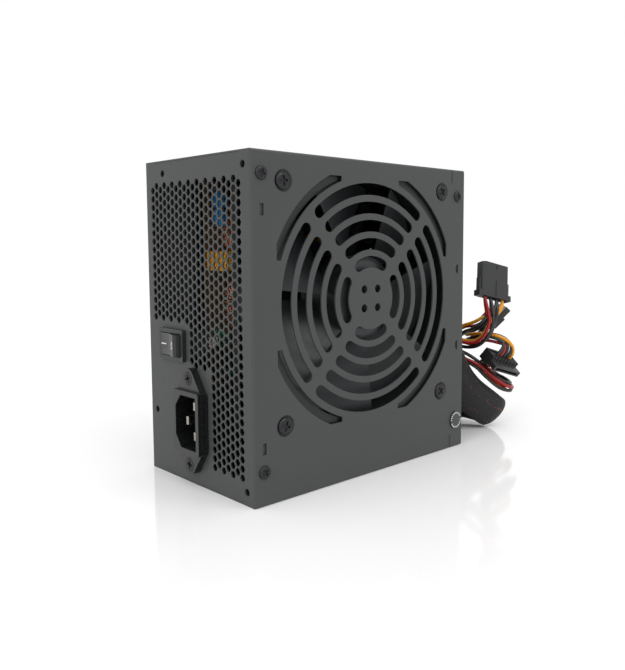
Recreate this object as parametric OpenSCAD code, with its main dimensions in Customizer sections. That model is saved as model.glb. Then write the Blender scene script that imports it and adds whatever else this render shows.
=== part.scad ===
// Standard desktop power supply unit, standing on its long side.
// X runs from the rear panel (-X) to the cable panel (+X), Y from the fan face (-Y) to the
// board floor (+Y), and Z is up. The origin is the middle of the casing's lower side.

/* [Casing] */
// Depth, from the rear panel to the cable panel
case_depth = 140; // [140:1:160]
// Thickness, from the fan face to the board floor
case_thickness = 86; // [86:1:90]
// Height of the casing as it stands
case_height = 150; // [150:0.5:151]
// Sheet steel thickness
sheet = 0.8; // [0.7:0.1:0.9]

/* [Fan] */
// Side of the square fan frame
fan_size = 120; // [120:120]
// Depth of the fan frame
fan_depth = 25; // [25:25]
// Height of the fan's centre above the casing's lower side
fan_z = 85.3; // [84:0.1:86]
// Number of rotor blades
blade_count = 7; // [7:1:9]

/* [Rear panel] */
// Distance across the flats of one vent hole
vent_flats = 3.1; // [2.8:0.1:3.2]
// Distance between vent holes in a column
vent_pitch = 4.03; // [4:0.01:4.1]
// Height of the mains inlet's centre
inlet_z = 30.2; // [30:0.1:31]
// Height of the rocker switch's centre
switch_z = 64; // [63.5:0.1:64.5]
// Travel of the rocker from off to on, in degrees
rocker_travel = 20; // [16:1:20]

/* [Hidden] */

$fn = 48;
gap = 0.1;               // between shells that only touch
rear_x = -case_depth / 2;
cable_x = case_depth / 2;
fan_y = -case_thickness / 2;
floor_y = case_thickness / 2;
fold_r = 1.2;            // outside radius of a folded sheet edge
tab_y0 = -34.5;          // the cover's edge shows between these on both end panels
tab_y1 = 35;
tab_h = sheet + gap;
flange_w = 8;            // inward flanges that take the cover screws
flange_y = fan_y + sheet + gap;
lip_w = 6;               // upturned lips inside the cover

// Fan and grill
fan_x = -1;
fan_bolt = 52.5;         // half of the standard 105 mm spacing
fan_front = fan_y + 1.9; // outer face of the fan frame
fan_back = fan_front + fan_depth;
bore_r = 58;
hub_r = 20;
blade_r = 56.4;
slot_w = 5.5;
spoke = 5;
slot_rings = [17.45, 25.95, 34.45, 42.95, 51.55];
corner_ring = [57.4, 62.2];
corner_from = 19;
corner_to = 56.5;
dimple_r = 4.9;
dimple_depth = 1;
cover_screw_at = [[-65.2, 140.3], [64.3, 136], [-65.2, 15], [64.3, 15]];
fan_screw_at = [for (a = [-1, 1], b = [-1, 1]) [fan_x + a * fan_bolt, fan_z + b * fan_bolt]];

// Rear panel
vent_step = 3.5;         // between columns
vent_y0 = 36.3;          // the column nearest the board floor
vent_top = 136.4;        // of every other column; the rest start half a pitch higher
vent_columns = [for (c = [0:20]) c < 9 ? 16 : c < 14 ? 21 : 32];
mount_at = [[-37, 144], [-37, 6], [27, 144], [37, 30]];
mount_r = 1.65;
switch_y = 19.8;
inlet_y = 2.8;
inlet_screw = 20;        // from the inlet's centre to each of its screws

// Rocker: its pivot lies behind the bezel's face
bezel_t = 2;
pivot_x = rear_x - bezel_t + 3.4;
rocker_r = 9;
rocker_h = 10.3;
rocker_half = 8.3;
cavity_r = 9.3;
cavity_half = 8.95;

// Circuit board
board_y = 34;
board_t = 1.6;
board_x0 = -43;
board_x1 = 62;
board_z0 = 7;
board_z1 = 143;
standoff_at = [[-38, 12], [57, 12], [-38, 138], [57, 138]];
primary_x = 15;          // heatsink planes
secondary_x = 44;

// Cable exit
exit_y = 12;
exit_z = 104;
exit_r = 12.4;           // clear radius inside the grommet
exit_x = cable_x + 3;    // outer face of the grommet
// offsets of the four cables in the grommet, as [Y, Z], and their radii
main_at = [0, 5.3];
cpu_at = [-6, -5.2];
sata_at = [2.2, -6.4];
molex_at = [8.3, -3];
main_r = 6;
cpu_r = 4;
loom_r = 3;              // the two unsleeved looms

// Routes of the cables, clear of their hanks. A flat stretch is given by the half width beside it.
main_route = [[73, 12, 109.3], [80, 12, 109.3], [86, 10, 106], [89, 5, 98], [89, -2, 88], [88.6, -9, 77],
    [88.4, -14.6, 65], [88.4, -18, 54], [89, -20.6, 44], [91, -22.4, 35], [94.6, -24.4, 27.4],
    [99, -27, 21.4], [104, -29.4, 17], [108.6, -31.6, 13.2], [112.6, -33, 10.2], [116.6, -31.6, 9.2],
    [118.6, -27, 9.8], [117.4, -20, 11.6], [114.6, -12, 12.8], [111, -5, 12.6], [109, 0, 12.4]];
main_wide = [6, 6, 6, 6, 6, 6, 6.2, 6.8, 8, 9.4, 10.2, 10.6, 10.6, 10.6, 10.4, 9.6, 10.2, 10.6, 10.8, 10.8, 10.8];
main_thin = [6, 6, 6, 6, 6, 5.8, 5.6, 5.2, 4.8, 4.4, 4.2, 4, 4, 4, 4, 4, 4, 4, 4, 4, 4];
main_lean = [0.53, -0.43, 0.727];   // the way its flat stretch is wide where it folds at the floor
main_tail = [[99.4, 65, 12.4], [101, 71, 13.4], [106, 76, 18], [112, 77, 26], [116, 73, 36], [118, 65, 46],
    [117.6, 55, 54], [113.4, 51, 58.4], [108, 47.6, 58.6], [101.4, 47.4, 58.6]];
cpu_route = [[73, 6, 98.8], [77, 6, 98.8], [80, 8, 95], [80.6, 12, 86], [80.6, 18, 75], [80.6, 26, 64],
    [80.6, 36, 53], [80.6, 48, 44], [81, 59, 37], [87, 68, 33], [94, 70, 31.4], [99, 66, 31.4]];
cpu_tail = [[92, 65, 27.4], [89, 71, 26.4], [83.4, 73.6, 22.6], [79.4, 70.4, 16.6], [78.4, 64, 12],
    [78.4, 57.2, 10.6]];
sata_in = [[73, 14.2, 97.6], [77, 14.2, 97.6], [81, 17, 94], [84, 21, 87], [84.4, 27, 78], [83.4, 34, 69.4],
    [82, 44, 62], [81.6, 56, 57.6], [82, 68, 54.4], [86, 77, 50.6], [92, 78.6, 46.4], [97.4, 74.4, 43.4],
    [99, 66.6, 42.4]];
sata_out = [[96, 0.6, 42.4], [97, -6, 43.6], [99.4, -12.4, 45.6], [102, -18.4, 44.6], [106, -27, 38.4],
    [110, -33, 32], [114.6, -37.4, 27], [120, -39, 24.6], [125, -36, 24.4], [127.6, -30, 26.4],
    [126, -24.6, 29.6], [121.6, -21.4, 32.4], [117.6, -22.2, 34.6], [116.6, -27, 38.4], [116.7, -31, 41.2]];
sata_next = [[116.9, -38.4, 43.8], [118.6, -40.6, 47.4], [118.6, -38.4, 51], [114.8, -32, 52.4],
    [111.8, -25.4, 52.4], [110.6, -19.6, 52], [112.6, -15.6, 52.4], [117, -14.4, 53.6], [121, -17, 57],
    [122.4, -22.9, 61.6]];
molex_in = [[73, 20.3, 101], [78, 20.3, 101], [84, 22, 98], [89, 26, 91], [91, 31, 82], [92, 36, 75.6],
    [93.6, 44, 72], [97, 53, 70.6], [103, 62, 67], [107.6, 69, 59], [105, 73, 51.6], [99, 66.6, 48.5]];
molex_out = [[101, 0.6, 48.5], [103, -6, 50.4], [104.4, -12, 55.4], [104.6, -18, 59.6], [103.6, -25, 61.6],
    [103.4, -31, 65.4], [105.3, -35.1, 71.5], [107.5, -33.6, 79]];
molex_next = [[113.5, -35.2, 77.6], [111.4, -36.7, 70.4], [108, -36.8, 63.4], [105.4, -33, 55],
    [103.6, -28, 51.6], [101, -21, 51.6], [98.6, -13, 53.6], [96.4, -6, 55.6], [95.4, 0.4, 57]];

// Hanks, tied behind the casing: [low X, low Y, low Z], [high X, high Y, high Z]
main_hank_box = [[85.5, -0.6, 1.4], [112.9, 66, 23.2]];
cpu_hank_box = [[86.5, 0, 23.4], [112, 66, 39.3]];
sata_hank_box = [[85.4, 0, 39.4], [104.6, 66, 45.4]];
molex_hank_box = [[85.4, 0, 45.5], [104.6, 66, 51.5]];
tie_y = 30;
tie_w = 3.6;
tie_t = 1.2;

// ---- helpers -------------------------------------------------------------------------------

// A rectangle from one corner to the other
module area(p, q) {
    translate(p) square(q - p);
}

// A box from its low corner to its high corner
module block(p, q) {
    translate(p) cube(q - p);
}

// A rectangle with true arcs at its corners
module soft_area(p, q, r) {
    area([p[0] + r, p[1]], [q[0] - r, q[1]]);
    area([p[0], p[1] + r], [q[0], q[1] - r]);
    for (x = [p[0] + r, q[0] - r], y = [p[1] + r, q[1] - r]) translate([x, y]) circle(r);
}

// Extrudes an outline drawn in (Y, Z) along X
module along_x(x0, x1) {
    translate([x0, 0, 0]) rotate([90, 0, 90]) linear_extrude(x1 - x0) children();
}

// Extrudes an outline drawn in (X, Z) along Y
module along_y(y0, y1) {
    translate([0, y1, 0]) rotate([90, 0, 0]) linear_extrude(y1 - y0) children();
}

// A rod along X or Y, given by its centre in the other two axes
module rod_x(x0, x1, yz, r) {
    along_x(x0, x1) translate(yz) circle(r);
}

module rod_y(y0, y1, xz, r) {
    along_y(y0, y1) translate(xz) circle(r);
}

// A closed tube along a route, with an oval section that is `wide` by `thin` at each point
function unit(v) = v / norm(v);
function heading(p, i) = unit(p[min(i + 1, len(p) - 1)] - p[max(i - 1, 0)]);
function carried(p) = [for (i = 0, n = unit(cross(heading(p, 0), [0.02, 0.03, 1])); i < len(p);
    i = i + 1, n = i < len(p) ? unit(n - (n * heading(p, i)) * heading(p, i)) : n) n];
function upright(p) = [for (i = [0:len(p) - 1]) unit(cross(heading(p, i), [0, 0, 1]))];
function leaning(p, e, n) = [for (i = [0:len(p) - 1]) let (t = max(0, min(1, (i - n) / 3)))
    unit(cross(heading(p, i), e * (1 - t) + [0, 0, t]))];

module tube(p, wide, thin, sides, frames) {
    rings = [for (i = [0:len(p) - 1]) let (s = frames[i], w = cross(s, heading(p, i)))
        for (k = [0:sides - 1]) let (a = 360 * k / sides) p[i] + s * thin[i] * cos(a) + w * wide[i] * sin(a)];
    last = (len(p) - 1) * sides;
    walls = [for (i = [0:len(p) - 2], k = [0:sides - 1]) let (a = i * sides + k, b = i * sides + (k + 1) % sides)
        each [[a, b, b + sides], [a, b + sides, a + sides]]];
    caps = [[for (k = [sides - 1:-1:0]) k], [for (k = [0:sides - 1]) last + k]];
    polyhedron(rings, concat(walls, caps), convexity = 8);
}

// A round cord of one radius
module cord(p, r, sides = 8) {
    same = [for (q = p) r];
    tube(p, same, same, sides, carried(p));
}

// A pan head screw along Y, its head outside, with a cross recess
module screw_y(y, xz, r, head_r, head_h, length) {
    difference() {
        union() {
            rod_y(y - head_h, y, xz, head_r);
            rod_y(y - head_h / 4, y + length, xz, r);
        }
        cross_y(y - head_h, xz, head_r * 0.62, head_h * 0.7);
    }
}

module cross_y(y, xz, reach, depth) {
    translate([xz[0], y, xz[1]]) for (a = [45, 135]) rotate([0, a, 0])
        block([-reach, -1, -0.5], [reach, depth, 0.5]);
}

// ---- casing --------------------------------------------------------------------------------

// Hexagonal vents, flats at the top and bottom, in columns
module vents() {
    for (c = [0:len(vent_columns) - 1], r = [0:vent_columns[c] - 1])
        translate([vent_y0 - vent_step * c, vent_top + (c % 2) * vent_pitch / 2 - vent_pitch * r])
            circle(vent_flats / sqrt(3), $fn = 6);
}

module rear_cutouts() {
    vents();
    area([switch_y - 9.6, switch_z - 6.6], [switch_y + 9.6, switch_z + 6.6]);
    area([inlet_y - 10.1, inlet_z - 13.9], [inlet_y + 10.1, inlet_z + 13.9]);
    for (s = [-1, 1]) translate([inlet_y, inlet_z + s * inlet_screw]) circle(1.6);
    for (m = mount_at) translate(m) circle(mount_r);
}

// The two end panels, drawn in (Y, Z), step back where the cover's edge shows
module end_panel() {
    difference() {
        area([flange_y, 0], [floor_y - fold_r, case_height]);
        area([tab_y0 - gap, -1], [tab_y1 + gap, tab_h]);
        area([tab_y0 - gap, case_height - tab_h], [tab_y1 + gap, case_height + 1]);
    }
}

module base_shell() {
    color("#4a4b4a") difference() {
        union() {
            // floor, folded round into both end panels
            linear_extrude(case_height) difference() {
                soft_area([rear_x, floor_y - 12], [cable_x, floor_y], fold_r);
                area([rear_x + sheet, floor_y - 13], [cable_x - sheet, floor_y - sheet]);
                area([rear_x - 1, floor_y - 13], [cable_x + 1, floor_y - fold_r - 0.4]);
            }
            along_x(rear_x, rear_x + sheet) difference() {
                end_panel();
                rear_cutouts();
            }
            along_x(cable_x - sheet, cable_x) difference() {
                end_panel();
                translate([exit_y, exit_z]) circle(exit_r + 1.6);
            }
            // flanges behind the fan face
            for (s = [0, 1]) {
                x0 = s == 0 ? rear_x + sheet - 0.1 : cable_x - flange_w;
                x1 = s == 0 ? rear_x + flange_w : cable_x - sheet + 0.1;
                block([x0, flange_y, 8], [x1, flange_y + sheet, case_height - 8]);
            }
            // lips along the floor's upper and lower edges
            for (z = [tab_h + gap, case_height - tab_h - gap - sheet])
                block([-60, floor_y - lip_w, z], [60, floor_y - 0.1, z + sheet]);
        }
        for (m = cover_screw_at) rod_y(flange_y - 1, flange_y + 2, m, 1.45);
        for (m = standoff_at) rod_y(floor_y - 2, floor_y + 1, m, 1.6);
    }
}

// Points along an arc, without its last one
function arc(c, r, from, to, n) = [for (k = [0:n - 1]) let (t = from + (to - from) * k / n)
    c + r * [cos(t), sin(t)]];

// A curved slot with round ends, and a corner slot with square ends
module ring_slot(r) {
    w = slot_w / 2;
    a = 45 - asin((spoke / 2 + w) / r);
    n = ceil(a / 2.5);
    polygon(concat(arc([0, 0], r + w, -a, a, n), arc(r * [cos(a), sin(a)], w, a, a + 180, 8),
        arc([0, 0], r - w, a, -a, n), arc(r * [cos(a), -sin(a)], w, -a - 180, -a, 8)));
}

module corner_slot() {
    a = acos(corner_to / corner_ring[1]);
    b = asin(corner_from / corner_ring[0]);
    polygon(concat(arc([0, 0], corner_ring[1], a, 90 - a, 10), [[corner_ring[1] * sin(a), corner_to]],
        [[corner_from, corner_to]], arc([0, 0], corner_ring[0], 90 - b, b, 14),
        [[corner_ring[0] * cos(b), corner_from]], [[corner_to, corner_from]]));
}

// Four slots to a ring, parted by diagonal spokes, and the holes in the middle
module grill() {
    for (q = [0:90:270]) rotate(q) {
        for (r = slot_rings) ring_slot(r);
        corner_slot();
    }
    for (x = [-4.5, 4.5], z = [-4.5, 4.5]) translate([x, z]) circle(1.95);
}

module cover_cutouts() {
    translate([fan_x, fan_z]) grill();
    for (m = cover_screw_at) translate(m) circle(1.7);
    for (m = fan_screw_at) translate(m) circle(2.3);
    // lanced slots beside the grill
    for (z = [25, 125.5]) area([-66, z - 2.5], [-64, z + 2.5]);
    for (z = [56.3, 97.5]) intersection() {
        translate([66, z]) circle(2.6);
        area([63, z - 3], [65.6, z + 3]);
    }
}

module cover_shell() {
    end_y = floor_y - sheet - gap;
    color("#4f504f") difference() {
        union() {
            along_x(rear_x, cable_x) difference() {
                union() {
                    soft_area([fan_y, 0], [fan_y + 20, case_height], fold_r);
                    area([fan_y + 10, 0], [end_y, case_height]);
                }
                area([fan_y + sheet, sheet], [floor_y + 1, case_height - sheet]);
            }
            // the backs of the fan screws' dimples
            for (m = fan_screw_at) rod_y(fan_y + 0.4, fan_front, m, dimple_r + 0.6);
        }
        along_y(fan_y - 1, fan_front + 1) cover_cutouts();
        for (m = fan_screw_at) translate([m[0], fan_y - dimple_depth, m[1]]) rotate([-90, 0, 0])
            cylinder(2 * dimple_depth, dimple_r + 0.7, dimple_r - 0.7);
        // the end panels reach past the cover beside its tabs
        for (x = [rear_x - 1, cable_x - sheet - gap], z = [-1, case_height - tab_h]) {
            block([x, fan_y + sheet, z], [x + 1 + sheet + gap, tab_y0, z + tab_h + 1]);
            block([x, tab_y1, z], [x + 1 + sheet + gap, floor_y, z + tab_h + 1]);
        }
        // pressed marks at the upper and lower edge
        for (z = [0, case_height - 6]) block([58, fan_y - 1, z - 1], [60.2, fan_y + 0.3, z + 7]);
    }
}

module cover_screws() {
    color("#2b2b2b") for (i = [0:3]) screw_y(fan_y, cover_screw_at[i], 1.45, 2.9, i == 3 ? 0.6 : 1.6, 4);
}

// A paper seal over the last cover screw
module seal_label() {
    color("#3c3d3d") rod_y(fan_y - 0.75, fan_y - 0.62, cover_screw_at[3], 4.5);
}

// ---- fan -----------------------------------------------------------------------------------

module fan_outline() {
    h = fan_size / 2;
    translate([fan_x, fan_z]) soft_area([-h, -h], [h, h], 6);
}

// Two corner flanges, the round duct, four struts and the motor's seat
module fan_frame() {
    h = fan_size / 2;
    color("#1d1d1e") difference() {
        union() {
            for (y = [fan_front, fan_back - 4]) along_y(y, y + 4) fan_outline();
            rod_y(fan_front, fan_back, [fan_x, fan_z], h, $fn = 96);
        }
        difference() {
            rod_y(fan_front - 1, fan_back + 1, [fan_x, fan_z], bore_r, $fn = 96);
            union() {
                rod_y(fan_back - 3, fan_back + 2, [fan_x, fan_z], 21);
                rod_y(fan_front + 9, fan_back, [fan_x, fan_z], 5);
                for (q = [25:90:295]) translate([fan_x, fan_back - 3, fan_z]) rotate([0, q, 0])
                    block([18, 0, -2], [bore_r + 1, 4, 2]);
            }
        }
        rod_y(fan_front + 8, fan_back - 1.5, [fan_x, fan_z], 3.5);
        for (m = fan_screw_at) rod_y(fan_front - 1, fan_back + 1, m, 2.15);
    }
}

module fan_bearing() {
    color("#a8762f") difference() {
        rod_y(fan_front + 9, fan_back - 3, [fan_x, fan_z], 3.5);
        rod_y(fan_front + 8, fan_back - 2, [fan_x, fan_z], 1.54);
    }
}

// Four wound poles and a small round board on the bearing's tube
module fan_stator() {
    color("#b5651d") difference() {
        union() {
            rod_y(fan_front + 11, fan_front + 19, [fan_x, fan_z], 7);
            for (q = [0:90:270]) translate([fan_x, fan_front + 11, fan_z]) rotate([0, q, 0]) {
                block([5, 0, -3.5], [12.5, 8, 3.5]);
                intersection() {
                    block([11, 1.5, -9], [16, 6.5, 9]);
                    rotate([-90, 0, 0]) cylinder(9, 15, 15);
                }
            }
            rod_y(fan_front + 19.4, fan_front + 20.6, [fan_x, fan_z], 15);
            rod_y(fan_front + 18.9, fan_front + 19.5, [fan_x, fan_z], 6);
        }
        rod_y(fan_front, fan_back, [fan_x, fan_z], 5.05);
    }
}

// One blade: a helical sheet that is straight at its leading edge and swept at its trailing edge
blade_rows = 7;
blade_steps = 7;
blade_span = 43;
blade_y0 = fan_front + 3.5;
blade_fall = 16.5;
function blade_at(i, j, side) = let (f = i / blade_rows, s = j / blade_steps,
        r = (hub_r - 0.8) + (blade_r - hub_r + 0.8) * f,
        a = -19 + blade_span * s + 9 * s * f * f,
        y = blade_y0 + blade_fall * (1 - pow(1 - s, 1.25)) + side * (1.7 - 0.8 * f))
    [r * cos(a), y, -r * sin(a)];

module blade() {
    n = blade_steps + 1;
    m = (blade_rows + 1) * n;
    top = [for (i = [0:blade_rows], j = [0:blade_steps]) blade_at(i, j, 0)];
    bottom = [for (i = [0:blade_rows], j = [0:blade_steps]) blade_at(i, j, 1)];
    rim = concat([for (j = [0:blade_steps]) j], [for (i = [1:blade_rows]) i * n + n - 1],
        [for (j = [blade_steps - 1:-1:0]) blade_rows * n + j], [for (i = [blade_rows - 1:-1:1]) i * n]);
    faces = concat(
        [for (i = [0:blade_rows - 1], j = [0:blade_steps - 1]) let (a = i * n + j)
            each [[a, a + n + 1, a + 1], [a, a + n, a + n + 1]]],
        [for (i = [0:blade_rows - 1], j = [0:blade_steps - 1]) let (a = m + i * n + j)
            each [[a, a + 1, a + n + 1], [a, a + n + 1, a + n]]],
        [for (k = [0:len(rim) - 1]) let (a = rim[k], b = rim[(k + 1) % len(rim)])
            each [[a, b, b + m], [a, b + m, a + m]]]);
    polyhedron(concat(top, bottom), faces, convexity = 6);
}

module fan_rotor() {
    color("#2a2b2c") translate([fan_x, 0, fan_z]) {
        for (k = [0:blade_count - 1]) rotate([0, k * 360 / blade_count, 0]) blade();
        translate([0, fan_front + 1.6, 0]) rotate([-90, 0, 0]) difference() {
            cylinder(19.4, hub_r, hub_r);
            translate([0, 0, 1.8]) cylinder(20, hub_r - 1.6, hub_r - 1.6);
            translate([0, 0, 1]) cylinder(4, 1.5, 1.5);
        }
    }
}

module fan_magnet() {
    color("#3a3a3c") difference() {
        rod_y(fan_front + 8, fan_front + 19.5, [fan_x, fan_z], hub_r - 1.6);
        rod_y(fan_front + 7, fan_front + 20, [fan_x, fan_z], 16.4);
    }
}

module fan_shaft() {
    color("#c9ccd0") rod_y(fan_front + 2.6, fan_back - 3.4, [fan_x, fan_z], 1.5);
}

module fan_screws() {
    color("#26272a") for (m = fan_screw_at) screw_y(fan_y + dimple_depth, m, 2.05, 3.8, 2.1, 9);
}

// Two wires from a strut to a small plug on the board
module fan_lead() {
    route = [[40, -13, 112], [42, -6, 114], [46, 2, 118], [49, 11, 122], [50.5, 19, 125], [51, 25, 126]];
    color("#1a1a1a") {
        cord(route, 0.75);
        block([49, 25, 122.5], [53, 33.9, 131]);
    }
    color("#b32222") cord([for (p = route) p + [0.2, 0.3, 2]], 0.75);
}

// ---- switch --------------------------------------------------------------------------------

module switch_housing() {
    hz = 6.4;
    color("#1b1c1d") difference() {
        union() {
            along_x(rear_x - bezel_t, rear_x) translate([switch_y, switch_z])
                soft_area([-10.5, -7.5], [10.5, 7.5], 1);
            along_x(rear_x - 0.1, rear_x + 13) translate([switch_y, switch_z])
                area([-9.5, -hz], [9.5, hz]);
        }
        translate([pivot_x, switch_y, switch_z]) {
            intersection() {
                translate([0, 0, -rocker_h / 2 - 0.3]) cylinder(rocker_h + 0.6, cavity_r, cavity_r, $fn = 96);
                block([-12, -cavity_half, -8], [4, cavity_half, 8]);
            }
            translate([0, 0, -6.3]) cylinder(12.6, 1.05, 1.05);
        }
        // the cavity's straight part below the pivot
        block([pivot_x - 0.1, switch_y - cavity_half + 0.1, switch_z - rocker_h / 2 - 0.3],
            [pivot_x + 4, switch_y + cavity_half - 0.1, switch_z + rocker_h / 2 + 0.3]);
    }
}

// The rocker, drawn with its pivot at the origin and its face towards -X. Its on side is pressed in.
module rocker() {
    tilt = rocker_travel / 2;
    color("#232425") translate([pivot_x, switch_y, switch_z]) rotate([0, 0, -tilt]) {
        difference() {
            intersection() {
                translate([0, 0, -rocker_h / 2]) cylinder(rocker_h, rocker_r, rocker_r, $fn = 96);
                block([-12, -rocker_half, -10], [2, rocker_half, 10]);
                // two faces that meet in a shallow valley
                translate([0, 0, -10]) linear_extrude(20) polygon([[-3.6, 0], [-3.6 - 9 * tan(tilt), 9],
                    [3, 9], [3, -9], [-3.6 - 9 * tan(tilt), -9]]);
            }
            // on and off marks
            translate([0, 5, 0]) mark_frame(-tilt) block([-0.25, -1.6, -0.3], [1, 1.6, 0.3]);
            translate([0, -5, 0]) mark_frame(tilt) rotate([0, 90, 0]) difference() {
                translate([0, 0, -0.25]) cylinder(1.2, 1.6, 1.6);
                translate([0, 0, -1]) cylinder(3, 1.05, 1.05);
            }
        }
        translate([0, 0, -6.1]) cylinder(12.2, 1, 1);
    }
}

// Puts a mark on one face of the rocker
module mark_frame(turn) {
    translate([-3.6 - 5 * tan(rocker_travel / 2), 0, 0]) rotate([0, 0, turn]) children();
}

module switch_terminals() {
    color("#c9a24a") for (y = [-6, 0]) {
        block([rear_x + 13, switch_y + y - 0.4, switch_z - 2.4], [rear_x + 20, switch_y + y + 0.4, switch_z + 2.4]);
    }
}

// ---- mains inlet ---------------------------------------------------------------------------

// The socket's opening, drawn in (Y, Z): two corners towards the earth pin are cut off
module socket_area(grow) {
    a = 8.35 + grow;
    b = 12.25 + grow;
    c = 4.4;
    polygon([[-a, -b], [a - c, -b], [a, -b + c + 1], [a, b - c - 1], [a - c, b], [-a, b]]);
}

// A long flange with narrowed, rounded ends round the socket
module inlet_flange() {
    hull() {
        for (y = [-1, 1], z = [-1, 1]) translate([y * 9.4, z * 12]) circle(1.6);
        for (z = [-1, 1]) translate([0, z * inlet_screw]) circle(4.6);
    }
}

module inlet_housing() {
    color("#151617") difference() {
        union() {
            along_x(rear_x - 3.4, rear_x) translate([inlet_y, inlet_z]) inlet_flange();
            along_x(rear_x - 5.2, rear_x) translate([inlet_y, inlet_z]) soft_area([-10.7, -14.4], [10.7, 14.4], 1.2);
            along_x(rear_x - 0.1, rear_x + 16) translate([inlet_y, inlet_z]) soft_area([-9.9, -13.7], [9.9, 13.7], 1);
        }
        along_x(rear_x - 6, rear_x + 13) translate([inlet_y, inlet_z]) socket_area(0);
        for (s = [-1, 1]) {
            rod_x(rear_x - 6, rear_x + 1, [inlet_y, inlet_z + s * inlet_screw], 1.75);
            translate([rear_x - 3.5, inlet_y, inlet_z + s * inlet_screw]) rotate([0, 90, 0])
                cylinder(1.9, 3.4, 1.7);
        }
        for (p = pin_at) along_x(rear_x + 12, rear_x + 17) translate(p) area([-1.02, -2.02], [1.02, 2.02]);
    }
}

pin_at = [[inlet_y - 2, inlet_z - 7], [inlet_y - 2, inlet_z + 7], [inlet_y + 2.6, inlet_z]];

module inlet_pins() {
    color("#cfd2d6") for (i = [0:2]) {
        p = pin_at[i];
        along_x(rear_x - (i == 2 ? 2.6 : 1.6), rear_x + 16) translate(p) area([-1, -2], [1, 2]);
        block([rear_x + 16, p[0] - 0.4, p[1] - 2.4], [rear_x + 22, p[0] + 0.4, p[1] + 2.4]);
    }
}

module inlet_screws() {
    color("#303236") for (s = [-1, 1]) translate([rear_x - 3.45, inlet_y, inlet_z + s * inlet_screw])
        rotate([0, 90, 0]) difference() {
            union() {
                cylinder(1.7, 3.2, 1.5);
                cylinder(8, 1.5, 1.5);
            }
            for (a = [0, 90]) rotate(a) block([-1.9, -0.45, -1], [1.9, 0.45, 1.1]);
        }
}

// Live and neutral wires by way of the switch, and the earth wire
module mains_leads() {
    color("#6b3a1e") cord([[-47.5, 0.8, 37.2], [-45, 1, 38], [-40, 4, 41], [-37, 12, 44], [-36.5, 22, 45.5],
        [-36.5, 33.9, 46]], 1.4);
    color("#274d8f") cord([[-47.5, 0.8, 23.2], [-45, 1, 23.4], [-40, 5, 24], [-37, 13, 25], [-36.5, 23, 25.5],
        [-36.5, 33.9, 25.5]], 1.4);
    color("#1f6f5f") cord([[-47.5, 5.4, 30.2], [-44.6, 8, 30.6], [-42, 14, 32], [-41, 22, 33.4], [-41, 33.9, 34]], 1.4);
    color("#1f1f1f") cord([[-49.5, 13.8, 64], [-46, 14, 64.4], [-41.4, 17, 65], [-39.4, 24, 65.6], [-39, 33.9, 66]], 1.4);
    color("#1f1f1f") cord([[-49.5, 19.8, 64], [-45.4, 20.4, 63.4], [-40, 22.6, 61], [-38.4, 27, 59.4],
        [-38, 33.9, 59]], 1.4);
}

// ---- circuit board and what stands on it ---------------------------------------------------

module circuit_board() {
    color("#8a6a35") difference() {
        along_y(board_y, board_y + board_t) area([board_x0, board_z0], [board_x1, board_z1]);
        for (m = standoff_at) rod_y(board_y - 1, board_y + 3, m, 1.7);
    }
}

module insulating_sheet() {
    color("#d9d7cf") difference() {
        block([board_x0 - 2, floor_y - sheet - 1, board_z0 - 1], [board_x1 + 2, floor_y - sheet - 0.6, board_z1 + 1]);
        for (m = standoff_at) rod_y(floor_y - 5, floor_y, m, 3.4);
    }
}

module board_standoffs() {
    color("#b9a15a") for (m = standoff_at) difference() {
        rod_y(board_y + board_t, floor_y - sheet, m, 3, $fn = 6);
        rod_y(board_y, floor_y, m, 1.3);
    }
}

module board_screws() {
    color("#c5c8cc") for (m = standoff_at) screw_y(board_y, m, 1.25, 2.8, 1.8, 5);
}

choke_at = [[-30, 119.4, 11.5], [-29, 80, 13]];   // X, Z and outer radius

// A ring that stands on the board under its winding of radius c[2], with its axis along X
module standing_ring(c, r, inner, thick) {
    along_x(c[0] - thick / 2, c[0] + thick / 2) translate([board_y - c[2] - 0.2, c[1]]) difference() {
        circle(r);
        circle(inner);
    }
}

// A winding round part of that ring: its outer skin, parted by `wedge` and hollowed for the core
module ring_winding(c, r, inner, thick, turn, wedge) {
    t = thick / 2;
    translate([c[0], board_y - c[2] - 0.2, c[1]]) rotate([turn, 0, 0]) difference() {
        intersection() {
            along_x(-t - 1.4, t + 1.4) circle(c[2]);
            along_x(-t - 2, t + 2) polygon([[0, 0], [30, -30 * tan(wedge)], [30, 30 * tan(wedge)]]);
        }
        along_x(-t - 0.1, t + 0.1) difference() {
            circle(r + 0.1);
            circle(inner - 0.1);
        }
        along_x(-t - 2, t + 2) circle(inner - 1.5);
    }
}

module filter_choke_cores() {
    color("#2e5d46") for (c = choke_at) standing_ring(c, c[2] - 1.6, c[2] - 6, 7);
}

module filter_choke_windings() {
    color("#b4592b") for (c = choke_at, turn = [90, 270])
        ring_winding(c, c[2] - 1.6, c[2] - 6, 7, turn, 60);
}

module x_capacitor() {
    color("#e3a51c") along_x(-42, -18) soft_area([17.4, 97.6], [board_y, 107.4], 0.8);
}

module y_capacitors() {
    color("#2f7fb8") for (z = [124.2, 133]) {
        rod_x(-40.6, -36.8, [26, z], 4.4);
        block([-39, 30, z + 1.4], [-38.4, board_y, z + 2]);
        block([-39, 30, z - 2], [-38.4, board_y, z - 1.4]);
    }
}

module fuse() {
    color("#dfe3df") along_x(-24, -4) translate([29.4, 60]) circle(2.9);
    color("#c4c7cb") for (x = [-26, -4]) {
        rod_x(x, x + 2, [29.4, 60], 3.1);
        block([x + 0.6, 31, 59.4], [x + 1.4, board_y, 60.6]);
    }
}

module thermistor() {
    color("#27332b") {
        rod_x(-32, -27, [25, 50], 6.4);
        for (z = [-2.5, 1.7]) block([-30, 30, 50 + z], [-29.2, board_y, 50.8 + z]);
    }
}

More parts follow.
